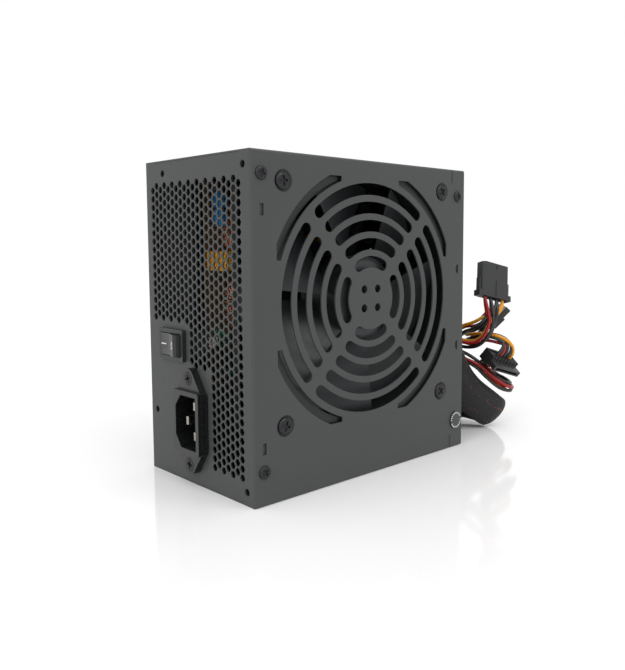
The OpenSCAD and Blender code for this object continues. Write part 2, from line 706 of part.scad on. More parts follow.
module bridge_rectifier() {
    color("#202122") block([-14.5, 12, 44], [-10.5, 29.4, 62 - 6]);
    color("#c4c7cb") for (z = [45.5, 48.4, 51.3, 54.2]) block([-13, 29.3, z], [-12.1, board_y, z + 0.9]);
}

bulk_at = [[-3, 128], [-3, 100]];

// Sleeved cans with a scored vent in the top and a curled rim
module can(x, z, r, h) {
    color("#23262b") difference() {
        rod_y(board_y - h, board_y, [x, z], r);
        rod_y(board_y - 2.6, board_y - 1.9, [x, z], r + 1);
    }
    color("#23262b") rod_y(board_y - 2.7, board_y - 1.8, [x, z], r - 0.7);
}

module bulk_capacitors() {
    for (c = bulk_at) can(c[0], c[1], 12.5, 38);
}

output_can_at = [[56.9, 24, 5], [56.9, 35, 5], [56.9, 46, 5], [56, 88, 4], [33, 124, 5], [33, 135, 5], [43, 136, 4]];

module output_capacitors() {
    for (c = output_can_at) can(c[0], c[1], c[2], 22);
}

// A comb of fins on a thick plate
module finned_plate(x, z0, z1, y0) {
    fins = floor((z1 - z0 - 2) / 9);
    block([x, y0, z0], [x + 3, board_y, z1]);
    for (k = [0:fins]) block([x - 7, y0, z0 + 9 * k], [x + 0.1, 6, z0 + 9 * k + 1.6]);
}

module primary_heatsink() {
    color("#b8bbbe") finned_plate(primary_x, 12, 84, -8);
}

module secondary_heatsink() {
    color("#b8bbbe") finned_plate(secondary_x, 12, 86, -8);
}

// Flat transistor packages, their tabs against a plate whose face is at x
module package(x, z) {
    color("#1c1c1d") block([x, 16, z - 5], [x + 4.4, 25.4, z + 5]);
    color("#c4c7cb") block([x, 9.6, z - 5], [x + 1.3, 16.1, z + 5]);
    color("#c4c7cb") for (d = [-2.54, 0, 2.54]) block([x + 2, 25.3, z + d - 0.4], [x + 2.5, board_y, z + d + 0.4]);
}

transistor_z = [26, 46];
rectifier_z = [20, 35, 50];

module power_transistors() {
    for (z = transistor_z) package(primary_x + 3, z);
}

module output_rectifiers() {
    for (z = rectifier_z) package(secondary_x + 3, z);
}

module device_screws() {
    color("#d0d3d6") {
        for (z = transistor_z) device_screw(primary_x + 4.3, z);
        for (z = rectifier_z) device_screw(secondary_x + 4.3, z);
    }
}

module device_screw(x, z) {
    rod_x(x, x + 2, [12, z], 2.7);
}

module transformer_core() {
    color("#3c3d40") difference() {
        block([24, 7, 48], [42, 31, 84]);
        block([23, 12, 54], [43, 26, 78]);
    }
}

// The bobbin and its taped winding, on pins
module transformer_winding() {
    color("#d8b23a") {
        along_y(12.1, 25.9) soft_area([20.4, 54.1], [43.6, 77.9], 3);
        block([24, 31.1, 50], [42, 32.4, 82]);
        for (z = [53:5:78], x = [27, 39]) block([x - 0.4, 32.3, z - 0.4], [x + 0.4, board_y, z + 0.4]);
    }
}

module standby_transformer() {
    color("#3c3d40") difference() {
        block([18, 12, 100], [34, 31, 118]);
        block([17, 15, 103.5], [35, 28, 114.5]);
    }
    color("#d8b23a") along_y(14.9, 28.1) soft_area([16, 103.4], [36, 114.6], 2);
    color("#2a2a2a") block([18, 30.9, 100], [34, board_y, 118]);
}

coil_at = [54.8, 69.4, 13.5];

module output_choke_core() {
    color("#d9c14a") standing_ring(coil_at, coil_at[2] - 2, 6.5, 9);
}

module output_choke_winding() {
    color("#b4592b") for (turn = [60, 180, 300])
        ring_winding(coil_at, coil_at[2] - 2, 6.5, 9, turn, 56);
}

module control_chips() {
    color("#1c1c1d") {
        block([4, 30.4, 66], [10.4, 33.4, 85]);
        block([24, 30.4, 18], [30.4, 33.4, 38]);
        for (z = [22, 30]) block([34, 30.2, z], [39, 33.6, z + 5]);
    }
    color("#c4c7cb") for (k = [0:6]) block([4.4, 33.3, 67 + 2.54 * k], [10, board_y, 67.6 + 2.54 * k]);
    color("#c4c7cb") for (k = [0:6]) block([24.4, 33.3, 19 + 2.54 * k], [30, board_y, 19.6 + 2.54 * k]);
    color("#c4c7cb") for (z = [22, 30], k = [0, 1]) block([34.4, 33.5, z + 1 + 2.54 * k], [38.6, board_y, z + 1.6 + 2.54 * k]);
}

// Wires from the board's output pads to the grommet, one bunch for each cable
module output_leads() {
    ends = [main_at, cpu_at, sata_at, molex_at];
    radii = [main_r, cpu_r, loom_r, loom_r];
    shade = ["#8a2020", "#c9a21f", "#1f1f1f", "#c8641c"];
    for (i = [0:3]) {
        e = [exit_y + ends[i][0], exit_z + ends[i][1]];
        color(shade[i]) rod_x(61, exit_x, e, radii[i] - 0.1);
    }
    color("#8a2020") cord([[54, 33.2, 118], [54.4, 27, 117], [56, 21, 114.4], [59.6, 15.4, 110.6]], 4.6);
}

// ---- cable exit ----------------------------------------------------------------------------

module exit_grommet() {
    color("#141415") translate([0, exit_y, exit_z]) rotate([0, 90, 0]) difference() {
        union() {
            translate([0, 0, cable_x]) cylinder(3, exit_r + 3.4, exit_r + 2.6);
            translate([0, 0, cable_x - sheet - 3]) cylinder(4, exit_r + 1.5, exit_r + 1.5);
            translate([0, 0, cable_x - sheet - 3]) cylinder(2.8, exit_r + 2.4, exit_r + 2.8);
        }
        translate([0, 0, cable_x - 8]) cylinder(16, exit_r, exit_r);
    }
}

// ---- cables --------------------------------------------------------------------------------

module main_cable() {
    color("#2b2b2d") {
        tube(main_route, main_wide, main_thin, 12, leaning(main_route, main_lean, 15));
        cord(main_tail, main_r, 10);
    }
}

module cpu_cable() {
    color("#222223") {
        cord(cpu_route, cpu_r);
        cord(cpu_tail, cpu_r);
    }
}

module sata_cable() {
    color("#a03028") {
        cord(sata_in, loom_r);
        cord(sata_out, loom_r);
        cord(sata_next, loom_r);
    }
}

module molex_cable() {
    color("#c08a1e") {
        cord(molex_in, loom_r);
        cord(molex_out, loom_r);
        cord(molex_next, loom_r);
    }
}

// A hank's outer shape: flat top and bottom, round ends
module hank(b) {
    w = (b[1][0] - b[0][0]) / 2;
    translate([b[0][0] + w, 0, b[0][2]]) linear_extrude(b[1][2] - b[0][2]) {
        area([-w, b[0][1] + w], [w, b[1][1] - w]);
        for (y = [b[0][1] + w, b[1][1] - w]) translate([0, y]) circle(w);
    }
}

module main_hank() {
    color("#2b2b2d") hank(main_hank_box);
}

module cpu_hank() {
    color("#222223") hank(cpu_hank_box);
}

module sata_hank() {
    color("#a03028") hank(sata_hank_box);
}

module molex_hank() {
    color("#c08a1e") hank(molex_hank_box);
}

// A plug body of n by m square ways with its latch, drawn with its wire side down
module plug(n, m) {
    pitch = 4.2;
    w = n * pitch + 1.2;
    d = m * pitch + 1.4;
    difference() {
        union() {
            block([-w / 2, -d / 2, 0], [w / 2, d / 2, 12.8]);
            block([-3.4, d / 2 - 0.1, 1.5], [3.4, d / 2 + 2.4, 3.6]);
            block([-2.6, d / 2 + 1.2, 1.5], [2.6, d / 2 + 2.6, 11]);
        }
        for (i = [0:n - 1], j = [0:m - 1])
            translate([(i - (n - 1) / 2) * pitch, (j - (m - 1) / 2) * pitch, 6]) block([-1.5, -1.5, 0], [1.5, 1.5, 8]);
    }
}

module main_connector() {
    color("#1a1a1b") translate([101.2, 47.4, 58.6]) rotate([0, -90, 0]) rotate([0, 0, -90]) plug(12, 2);
}

module cpu_connector() {
    color("#1a1a1b") translate([78.4, 57, 10.6]) rotate([90, 0, 0]) rotate([0, 0, 90]) plug(4, 2);
}

// A drive plug: a keyed mouth, and a thicker back that five wires cross behind a comb of ribs
module sata_body() {
    color("#1a1a1b") difference() {
        union() {
            block([-12.2, -1.7, 0], [12.2, 1.7, 10]);
            block([-12.2, -3, 6], [12.2, 3.4, 14]);
            for (k = [-3:1:3]) block([k * 3.1 - 0.6, 1.6, 5.2], [k * 3.1 + 0.6, 4.4, 9]);
            block([-12.2, 3.3, 12.4], [12.2, 4.4, 14]);
            for (s = [-1, 1]) block([s * 11.7 - 0.5, 1.6, 5.2], [s * 11.7 + 0.5, 4.4, 14]);
        }
        block([-10.2, -0.7, -1], [10.2, 0.5, 5]);
        block([8, -1.2, -1], [10.2, -0.6, 5]);
    }
}

module sata_connectors() {
    translate([113.95, -42.9, 35.1]) rotate([54.9, -16.7, 176.4]) sata_body();
    translate([129.4, -30.2, 71.8]) rotate([0, 0, -135]) rotate([135, 0, 0]) sata_body();
}

// A four-way peripheral plug: two sloped corners down its whole length, grip ears at its wire side
module molex_body() {
    color("#1a1a1b") difference() {
        union() {
            linear_extrude(21) polygon([[-10.1, 3.1], [10.1, 3.1], [10.1, -1.5], [8.5, -3.1], [-8.5, -3.1],
                [-10.1, -1.5]]);
            for (s = [-1, 1]) {
                block([s * 10.1 - 1.3, -1, 1], [s * 10.1 + 1.3, 2, 11]);
                block([s * 10.1 - 2.1, -2.2, 0], [s * 10.1 + 2.1, 2.9, 3.4]);
            }
            block([-0.4, -3.5, 1], [0.4, -3, 10.5]);
        }
        block([-0.4, -4, 17.4], [0.4, -2.6, 20]);
        for (k = [-1.5:1:1.5]) translate([k * 5.08, 0, 12]) cylinder(10, 1.75, 1.75);
    }
}

module molex_connectors() {
    translate([110.5, -34.4, 78.3]) rotate([-14.7, 13.3, -15.2]) molex_body();
    translate([95.4, 0.2, 57]) rotate([-90, 0, 0]) molex_body();
}

// A nylon tie round all the hanks, with its locking head
module cable_tie() {
    x0 = 84.6;
    x1 = 113.4;
    top = 51.8;
    color("#101011") {
        along_y(tie_y - tie_w / 2, tie_y + tie_w / 2) difference() {
            soft_area([x0 - tie_t, 0], [x1 + tie_t, top + tie_t], 2.4);
            soft_area([x0, tie_t], [x1, top], 0.8);
        }
        block([x1 + tie_t - 0.1, tie_y - 3, 34], [x1 + tie_t + 4, tie_y + 3, 39.5]);
    }
}

base_shell();
cover_shell();
cover_screws();
seal_label();
fan_frame();
fan_bearing();
fan_stator();
fan_rotor();
fan_magnet();
fan_shaft();
fan_screws();
fan_lead();
switch_housing();
rocker();
switch_terminals();
inlet_housing();
inlet_pins();
inlet_screws();
mains_leads();
circuit_board();
insulating_sheet();
board_standoffs();
board_screws();
filter_choke_cores();
filter_choke_windings();
x_capacitor();
y_capacitors();
fuse();
thermistor();
bridge_rectifier();
bulk_capacitors();
primary_heatsink();
power_transistors();
transformer_core();
transformer_winding();
standby_transformer();
secondary_heatsink();
output_rectifiers();
device_screws();
output_choke_core();
output_choke_winding();
output_capacitors();
control_chips();
output_leads();
exit_grommet();
main_cable();
main_hank();
main_connector();
cpu_cable();
cpu_hank();
cpu_connector();
sata_cable();
sata_hank();
sata_connectors();
molex_cable();
molex_hank();
molex_connectors();
cable_tie();
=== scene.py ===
"""Looks of a desktop computer power supply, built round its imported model.

Sizes are in millimetres and turn into metres where a mesh is made. X runs from the rear panel
to the cable panel, Y from the fan face to the board floor, and Z is up.
"""

from __future__ import annotations

import logging
import math
from collections.abc import Callable, Sequence
from dataclasses import dataclass
from enum import Enum
from functools import cache, partial

import bmesh
import bpy
import numpy as np
from mathutils import Matrix, Vector


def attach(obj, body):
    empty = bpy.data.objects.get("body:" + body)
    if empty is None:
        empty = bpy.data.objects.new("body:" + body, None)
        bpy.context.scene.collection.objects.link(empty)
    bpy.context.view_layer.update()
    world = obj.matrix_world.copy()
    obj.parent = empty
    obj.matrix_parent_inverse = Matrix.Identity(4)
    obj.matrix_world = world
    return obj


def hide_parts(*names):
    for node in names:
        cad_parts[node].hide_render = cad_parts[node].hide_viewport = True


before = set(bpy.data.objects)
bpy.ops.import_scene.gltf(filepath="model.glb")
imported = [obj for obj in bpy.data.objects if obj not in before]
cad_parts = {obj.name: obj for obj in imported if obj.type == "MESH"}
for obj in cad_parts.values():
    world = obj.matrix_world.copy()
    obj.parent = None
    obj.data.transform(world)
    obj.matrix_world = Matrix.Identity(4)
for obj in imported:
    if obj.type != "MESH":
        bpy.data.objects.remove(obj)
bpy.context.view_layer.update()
LOG = logging.getLogger("power_supply")
MM = 0.001
Point = tuple[float, float, float]
Flat = tuple[float, float]


class Body(Enum):
    """The bodies that pieces ride on."""

    CASING = "casing"
    ROTOR = "rotor"
    ROCKER = "rocker"


# ---- nodes and finishes ----------------------------------------------------------------------


def linear(code: str) -> tuple[float, float, float, float]:
    """Turns an sRGB hex colour into a linear one.

    Args:
        code: the colour, such as "#4a4b4a".

    Returns:
        Red, green, blue and alpha.
    """
    parts = [int(code[k : k + 2], 16) / 255 for k in (1, 3, 5)]
    red, green, blue = (p / 12.92 if p <= 0.04045 else ((p + 0.055) / 1.055) ** 2.4 for p in parts)
    return red, green, blue, 1.0


def add_node(
    tree: bpy.types.NodeTree, kind: str, inputs: dict | None = None, **settings: object
) -> bpy.types.Node:
    """Adds a node with its settings and links.

    Args:
        tree: the tree that gets the node.
        kind: the node's type.
        inputs: a value or an output socket for each input, by name or number.
        **settings: the node's own settings.

    Returns:
        The new node.
    """
    node = tree.nodes.new(kind)
    for key, value in settings.items():
        setattr(node, key, value)
    for key, value in (inputs or {}).items():
        if isinstance(value, bpy.types.NodeSocket):
            tree.links.new(value, node.inputs[key])
        else:
            node.inputs[key].default_value = value
    return node


def sum_of(tree: bpy.types.NodeTree, kind: str, a: object, b: object = 0.0) -> bpy.types.NodeSocket:
    """Returns the outcome of one sum on two values or sockets."""
    return add_node(tree, "ShaderNodeMath", {0: a, 1: b}, operation=kind).outputs[0]


def bump_from(tree: bpy.types.NodeTree, height: bpy.types.NodeSocket, lift_mm: float) -> bpy.types.NodeSocket:
    """Returns a normal that turns a height from 0 to 1 into relief of a real depth."""
    bump = add_node(tree, "ShaderNodeBump", {"Height": height, "Distance": lift_mm * MM, "Strength": 1.0})
    return bump.outputs[0]


@dataclass(frozen=True)
class Finish:
    """A finish with its colour, its gloss, and a grain drawn at a real size."""

    name: str
    colour: str
    roughness: float
    metallic: float = 0.0
    tint: str = ""
    tint_mm: float = 12.0
    grain_mm: float = 0.6
    lift_mm: float = 0.01
    stretch: Point = (1.0, 1.0, 1.0)
    spread: float = 0.05
    specular: float = 0.5
    coat: float = 0.0

    def material(self) -> bpy.types.Material:
        """Returns the finish's material, built once."""
        made = bpy.data.materials.get(self.name)
        if made is None:
            made = bpy.data.materials.new(self.name)
            made.use_nodes = True
            shader = made.node_tree.nodes["Principled BSDF"]
            shader.inputs["Base Color"].default_value = linear(self.colour)
            shader.inputs["Metallic"].default_value = self.metallic
            shader.inputs["Specular IOR Level"].default_value = self.specular
            shader.inputs["Coat Weight"].default_value = self.coat
            shader.inputs["Coat Roughness"].default_value = 0.15
            made.diffuse_color = linear(self.colour)
            self.dress(made.node_tree, shader)
        return made

    def grain(self, tree: bpy.types.NodeTree, size_mm: float, detail: float = 2.0) -> bpy.types.Node:
        """Adds a noise whose cells have a real size.

        Args:
            tree: the material's tree.
            size_mm: the size of a cell.
            detail: how much finer detail it has.

        Returns:
            The noise node.
        """
        place = add_node(tree, "ShaderNodeTexCoord")
        turned = add_node(
            tree, "ShaderNodeMapping", {"Vector": place.outputs["Object"], "Scale": self.stretch}
        )
        settings = {"Vector": turned.outputs[0], "Scale": 1 / (size_mm * MM), "Detail": detail}
        return add_node(tree, "ShaderNodeTexNoise", settings)

    def dress(self, tree: bpy.types.NodeTree, shader: bpy.types.Node) -> None:
        """Adds the grain's relief, the tint and the uneven gloss.

        Args:
            tree: the material's tree.
            shader: its shader.
        """
        fine = self.grain(tree, self.grain_mm)
        gloss = add_node(
            tree,
            "ShaderNodeMapRange",
            {
                "Value": fine.outputs["Fac"],
                "From Min": 0.3,
                "From Max": 0.7,
                "To Min": max(self.roughness - self.spread, 0.02),
                "To Max": min(self.roughness + self.spread, 1.0),
            },
        )
        tree.links.new(bump_from(tree, fine.outputs["Fac"], self.lift_mm), shader.inputs["Normal"])
        tree.links.new(gloss.outputs[0], shader.inputs["Roughness"])
        if self.tint:
            wide = self.grain(tree, self.tint_mm, 4.0)
            mixed = self.blend(tree, wide.outputs["Fac"], self.colour, self.tint)
            tree.links.new(mixed, shader.inputs["Base Color"])

    def blend(
        self,
        tree: bpy.types.NodeTree,
        share: bpy.types.NodeSocket,
        first: str | bpy.types.NodeSocket,
        second: str | bpy.types.NodeSocket,
    ) -> bpy.types.NodeSocket:
        """Mixes two colours.

        Args:
            tree: the material's tree.
            share: how much of the second colour shows.
            first: the first colour, or the socket that gives it.
            second: the second colour, or its socket.

        Returns:
            The mixed colour's socket.
        """
        mix = add_node(tree, "ShaderNodeMix", data_type="RGBA")
        tree.links.new(share, mix.inputs["Factor"])
        colours = [s for s in mix.inputs if s.type == "RGBA"]
        for socket, colour in zip(colours, (first, second)):
            if isinstance(colour, str):
                socket.default_value = linear(colour)
            else:
                tree.links.new(colour, socket)
        return next(s for s in mix.outputs if s.type == "RGBA")


@dataclass(frozen=True)
class SleeveBraid(Finish):
    """Black polyester filament, braided over coloured wires that show between its strands, with painted shade
    in the strands' hollows and in the gaps between them.
    """

    strands: int = 40
    threads: tuple[tuple[float, str], ...] = (
        (0.04, "#96301e"), (0.13, "#80601e"), (0.22, "#96301e"), (0.31, "#74481c"), (0.40, "#8a2c1a"),
        (0.53, "#96301e"), (0.62, "#80601e"), (0.71, "#8a2c1a"), (0.80, "#74481c"), (0.89, "#96301e"),
    )
    thread_width: float = 0.013
    # painted shade: the near-black colour between the wires that show through the braid's gaps
    gap_shade_colour: str = "#0d0d0e"
    gap_height: float = 0.62
    wander_mm: float = 14.0
    patch_mm: float = 1.5

    def dress(self, tree: bpy.types.NodeTree, shader: bpy.types.Node) -> None:
        """Draws two crossing families of strands on the piece's own UV map."""
        place = add_node(tree, "ShaderNodeUVMap", uv_map="lay")
        parts = add_node(tree, "ShaderNodeSeparateXYZ", {0: place.outputs[0]})
        sums = partial(sum_of, tree)
        around, along = parts.outputs[0], parts.outputs[1]
        height = self.weave(sums, around, along)
        tree.links.new(bump_from(tree, height, self.lift_mm), shader.inputs["Normal"])
        shader.inputs["Roughness"].default_value = self.roughness
        # the wires press against the sleeve along a few lines, which wander a little
        wander = self.grain(tree, self.wander_mm, 1.0)
        drift = sums("MULTIPLY", sums("SUBTRACT", wander.outputs["Fac"], 0.5), 0.12)
        ramp = add_node(tree, "ShaderNodeValToRGB", {0: sums("FRACT", sums("ADD", around, drift))})
        ramp.color_ramp.interpolation = "CONSTANT"
        # painted shade: the ramp is near black between the wire colours
        for element in ramp.color_ramp.elements:
            element.color = linear(self.gap_shade_colour)
        for start, code in self.threads:
            ramp.color_ramp.elements.new(start).color = linear(code)
            ramp.color_ramp.elements.new(start + self.thread_width).color = linear(self.gap_shade_colour)
        patch = self.grain(tree, self.patch_mm, 2.0)
        gap = sums("LESS_THAN", height, self.gap_height)
        shown = sums("MULTIPLY", gap, sums("GREATER_THAN", patch.outputs["Fac"], 0.55))
        # painted shade: each strand darkens to near black towards its hollows and where it passes under the
        # other family
        shaded_strand = self.blend(tree, sums("POWER", height, 3.0), "#050506", self.colour)
        tree.links.new(self.blend(tree, shown, shaded_strand, ramp.outputs[0]), shader.inputs["Base Color"])

    def weave(
        self,
        sums: Callable[..., bpy.types.NodeSocket],
        around: bpy.types.NodeSocket,
        along: bpy.types.NodeSocket,
    ) -> bpy.types.NodeSocket:
        """Lets two families of strands cross, each over the other in turn.

        Args:
            sums: adds one sum to the material's tree.
            around: how far round the sleeve a point is.
            along: how far along it the point is, in the same unit.

        Returns:
            The strands' height, from 0 to 1.
        """
        first = sums("MULTIPLY", sums("ADD", around, along), float(self.strands))
        second = sums("MULTIPLY", sums("SUBTRACT", around, along), float(self.strands))
        turn = sums("ADD", sums("FLOOR", first), sums("FLOOR", second))
        over = sums("COMPARE", sums("FLOORED_MODULO", turn, 2.0), 0.0)
        heights = []
        for family, above in ((first, over), (second, sums("SUBTRACT", 1.0, over))):
            ridge = sums("ABSOLUTE", sums("SINE", sums("MULTIPLY", family, math.pi)))
            heights.append(sums("MULTIPLY", ridge, sums("ADD", sums("MULTIPLY", above, 0.5), 0.5)))
        return sums("MAXIMUM", *heights)


@dataclass(frozen=True)
class SealPrint(Finish):
    """Matt grey seal paper with a ring of short printed strokes."""

    centre: Point = (64.3, -43.7, 15.0)
    print_colour: str = "#d8d8d4"
    ring_r: float = 3.9
    stroke_mm: float = 0.9
    strokes: int = 22
    arcs: int = 2

    def dress(self, tree: bpy.types.NodeTree, shader: bpy.types.Node) -> None:
        """Prints the strokes round the seal's centre."""
        super().dress(tree, shader)
        place = add_node(tree, "ShaderNodeTexCoord")
        shift = add_node(
            tree,
            "ShaderNodeMapping",
            {"Vector": place.outputs["Object"], "Location": tuple(-c * MM for c in self.centre)},
        )
        parts = add_node(tree, "ShaderNodeSeparateXYZ", {0: shift.outputs[0]})
        sums = partial(sum_of, tree)
        x, z = parts.outputs[0], parts.outputs[2]
        radius = sums("SQRT", sums("ADD", sums("MULTIPLY", x, x), sums("MULTIPLY", z, z)))
        ring = sums("COMPARE", radius, self.ring_r * MM)
        ring.node.inputs[2].default_value = self.stroke_mm / 2 * MM
        angle = sums("MULTIPLY", sums("ARCTAN2", z, x), self.strokes / math.tau)
        stroke = sums("GREATER_THAN", sums("FRACT", angle), 0.52)
        pause = sums("GREATER_THAN", sums("FRACT", sums("MULTIPLY", angle, self.arcs / self.strokes)), 0.14)
        ink = sums("MULTIPLY", sums("MULTIPLY", ring, stroke), pause)
        tree.links.new(self.blend(tree, ink, self.colour, self.print_colour), shader.inputs["Base Color"])


@dataclass(frozen=True)
class LinedMetal(Finish):
    """Metal or laminate with fine lines along one way, from rolling, drawing or winding."""

    line_mm: float = 0.8
    line_lift_mm: float = 0.08
    axis: int = 2

    def dress(self, tree: bpy.types.NodeTree, shader: bpy.types.Node) -> None:
        """Adds evenly spaced lines to the relief."""
        super().dress(tree, shader)
        place = add_node(tree, "ShaderNodeTexCoord")
        parts = add_node(tree, "ShaderNodeSeparateXYZ", {0: place.outputs["Object"]})
        phase = sum_of(tree, "MULTIPLY", parts.outputs[self.axis], math.pi / (self.line_mm * MM))
        ridge = sum_of(tree, "ABSOLUTE", sum_of(tree, "SINE", phase))
        tree.links.new(bump_from(tree, ridge, self.line_lift_mm), shader.inputs["Normal"])


# Polyester powder coat on steel: matt, with a fine sandy skin. The grain is 0.3 mm on the real
# sheet and is drawn at 0.9 mm, or it wouldn't show.
POWDER_COAT = Finish(
    "polyester_powder_coat",
    "#3e403f",
    0.5,
    tint="#424443",
    tint_mm=30,
    grain_mm=0.9,
    lift_mm=0.03,
    specular=0.35,
)
# Case-hardened screws in black oxide: dark metal with worn, shinier spots.
BLACK_OXIDE = Finish(
    "black_oxide_steel", "#333335", 0.38, metallic=0.85, grain_mm=0.7, lift_mm=0.02, spread=0.12
)
# Glass-filled PBT, moulded: satin, with a soft sheen on the blades. The frame's is nearly black.
PBT = Finish("moulded_pbt", "#25282a", 0.42, grain_mm=1.2, lift_mm=0.01, tint="#292c2e", tint_mm=15)
FRAME_PBT = Finish("moulded_pbt_frame", "#0e0f10", 0.5, grain_mm=1.2, lift_mm=0.01)
# Nylon 66, moulded with a light spark texture: black with a grey sheen. The rocker's is smoother.
NYLON = Finish("moulded_nylon", "#1f2021", 0.42, grain_mm=0.8, lift_mm=0.02)
ROCKER_NYLON = Finish("moulded_nylon_rocker", "#232425", 0.36, grain_mm=1.1, lift_mm=0.006)
# Thermoset polyester, moulded: deep black and a little glossy.
THERMOSET = Finish("moulded_thermoset", "#131415", 0.3, grain_mm=1.0, lift_mm=0.008)
# Pad-printed ink: flat, dull white on the glossy rocker.
WHITE_PRINT = Finish("pad_printed_ink", "#e4e4e0", 0.5, grain_mm=0.5, lift_mm=0.004)
# Seal paper: dull, with pale print in a ring.
SEAL = SealPrint("printed_seal_paper", "#3f4140", 0.55, grain_mm=0.5, lift_mm=0.01)
# Nickel on brass: warm grey metal with soft highlights.
NICKEL = Finish("nickel_plated_brass", "#a8a49a", 0.3, metallic=1.0, grain_mm=2, lift_mm=0.006, spread=0.08)
# Clear zinc on steel: cold bright metal.
BRIGHT_STEEL = Finish("zinc_plated_steel", "#c4c7cb", 0.3, metallic=1.0, grain_mm=1.5, lift_mm=0.01)
# Oil-soaked sintered bronze: warm, matt and slightly porous.
BRONZE = Finish("oil_filled_bronze", "#9c7038", 0.5, metallic=1.0, grain_mm=0.4, lift_mm=0.02)
# Stacked silicon steel: grey metal with the stack's fine lines.
LAMINATIONS = LinedMetal("silicon_steel_laminations", "#77787c", 0.4, metallic=1.0, line_mm=0.5, axis=1)
# Pressed ferrite: charcoal, dry and faintly speckled.
FERRITE = Finish("pressed_ferrite", "#3b3c40", 0.7, grain_mm=0.5, lift_mm=0.03, tint="#47484c", tint_mm=2)
# Paper phenolic laminate: dull brown, with a smooth resin skin.
PHENOLIC = Finish(
    "paper_phenolic_board", "#6e5028", 0.45, tint="#5c4020", tint_mm=14, grain_mm=1.5, lift_mm=0.01
)
# Fish paper, vulcanised fibre with a film on it: black and satin.
FILM = Finish("black_fish_paper", "#121314", 0.45, grain_mm=6, lift_mm=0.03)
# Coated ring cores: green epoxy with a slight orange peel, and dull yellow paint.
CORE_GREEN = Finish("epoxy_coated_ferrite_green", "#2c6350", 0.35, grain_mm=1.4, lift_mm=0.03)
CORE_YELLOW = Finish("painted_iron_powder_yellow", "#d9b83a", 0.5, grain_mm=0.6, lift_mm=0.03)
# Polyurethane enamel over copper: red-orange metal under a clear glossy skin.
ENAMELLED_COPPER = Finish(
    "enamelled_copper", "#e0855a", 0.34, metallic=0.5, grain_mm=3, lift_mm=0.01, coat=0.5
)
# A moulded capacitor box: clean yellow with a satin skin.
BOX_YELLOW = Finish("moulded_box_yellow", "#eaa21c", 0.35, grain_mm=1.4, lift_mm=0.01)
# Dipped epoxy: glossy and a little lumpy.
DIPPED_BLUE = Finish("dipped_epoxy_blue", "#2d83c4", 0.25, grain_mm=2.2, lift_mm=0.05)
DIPPED_DARK = Finish("dipped_epoxy_green", "#1f3a30", 0.3, grain_mm=2.2, lift_mm=0.05)
# Fuse ceramic: warm white.
CERAMIC = Finish("fuse_ceramic", "#dcdcd4", 0.4, grain_mm=1.0, lift_mm=0.01)
# Transfer-moulded epoxy: black, with the mould's dull grain.
EPOXY_PACKAGE = Finish("moulded_epoxy", "#1c1c1e", 0.5, grain_mm=0.5, lift_mm=0.015)
# Shrunk PVC on the capacitor cans: dark blue and glossy, with soft folds.
SLEEVE_PVC = Finish("shrunk_pvc_sleeve", "#1d2431", 0.25, grain_mm=4, lift_mm=0.03)
# Extruded aluminium: pale metal with the die's lines along it.
MILL_ALUMINIUM = LinedMetal(
    "extruded_aluminium", "#b7babe", 0.36, metallic=1.0, line_mm=0.9, line_lift_mm=0.03, axis=2
)
# Polyester tape in wraps: glossy amber with a step at each wrap.
WINDING_TAPE = LinedMetal("polyester_winding_tape", "#d6a32c", 0.3, line_mm=6.0, line_lift_mm=0.1, axis=1)
# Soft PVC over stranded copper: satin, with a faint ripple from the strands.
PVC = {
    name: Finish(f"pvc_{name}", colour, gloss, grain_mm=2.5, lift_mm=0.03, tint=tint)
    for name, colour, gloss, tint in (
        ("red", "#a3161a", 0.32, "#8e1216"),
        ("scarlet", "#d8321e", 0.32, "#c32a18"),
        ("yellow", "#e8a010", 0.32, "#d98e0a"),
        ("black", "#1b1b1c", 0.34, "#232324"),
        ("green", "#1c7a5a", 0.34, ""),
    )
}
# Monofilament in flat groups: dark strands with dull highlights, painted shade that darkens each strand
# towards its hollows and where it passes under, and black gaps between them that are painted shade.
BRAID = SleeveBraid("braided_polyester_sleeve", "#353538", 0.5, lift_mm=0.3, specular=0.3)
SLIM_BRAID = SleeveBraid("braided_polyester_slim", "#353538", 0.5, lift_mm=0.3, specular=0.3, strands=24)


# ---- meshes ----------------------------------------------------------------------------------


def register(
    name: str,
    mesh: bpy.types.Mesh,
    finishes: Sequence[Finish],
    stands_for: Sequence[str] = (),
    body: Body = Body.CASING,
) -> bpy.types.Object:
    """Turns a finished mesh into a piece that rides on a body.

    Args:
        name: the piece's name.
        mesh: its mesh, in place, in metres.
        finishes: one finish for each of its material numbers, or none if it has its own.
        stands_for: the CAD nodes that it takes the place of.
        body: the body that it moves with.

    Returns:
        The piece.
    """
    piece = bpy.data.objects.new(name, mesh)
    bpy.context.scene.collection.objects.link(piece)
    if finishes:
        if mesh.materials:
            mesh.materials.clear()
        for finish in finishes:
            mesh.materials.append(finish.material())
    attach(piece, body.value)
    if stands_for:
        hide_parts(*stands_for)
    LOG.info("%s: %d faces on %s", name, len(mesh.polygons), body.value)
    return piece


def settled(source: bpy.types.Object) -> bpy.types.Mesh:
    """Applies an object's modifiers.

    Args:
        source: the object, which is removed.

    Returns:
        The plain mesh that they give.
    """
    graph = bpy.context.evaluated_depsgraph_get()
    mesh = bpy.data.meshes.new_from_object(source.evaluated_get(graph), depsgraph=graph)
    old = source.data
    bpy.data.objects.remove(source)
    if old.users == 0:
        bpy.data.meshes.remove(old)
    return mesh


def evened(mesh: bpy.types.Mesh, sharp: float = 38.0) -> bpy.types.Mesh:
    """Shades a mesh so that its flat faces stay flat and its rounded edges turn smoothly.

    Args:
        mesh: the mesh, which is used up.
        sharp: edges that turn by more than this many degrees stay sharp.

    Returns:
        The mesh with its own normals.
    """
    mesh.shade_smooth()
    mesh.set_sharp_from_angle(angle=math.radians(sharp))
    holder = bpy.data.objects.new("evening", mesh)
    bpy.context.scene.collection.objects.link(holder)
    normals = holder.modifiers.new("normals", "WEIGHTED_NORMAL")
    normals.mode, normals.weight, normals.keep_sharp = "FACE_AREA", 100, True
    return settled(holder)


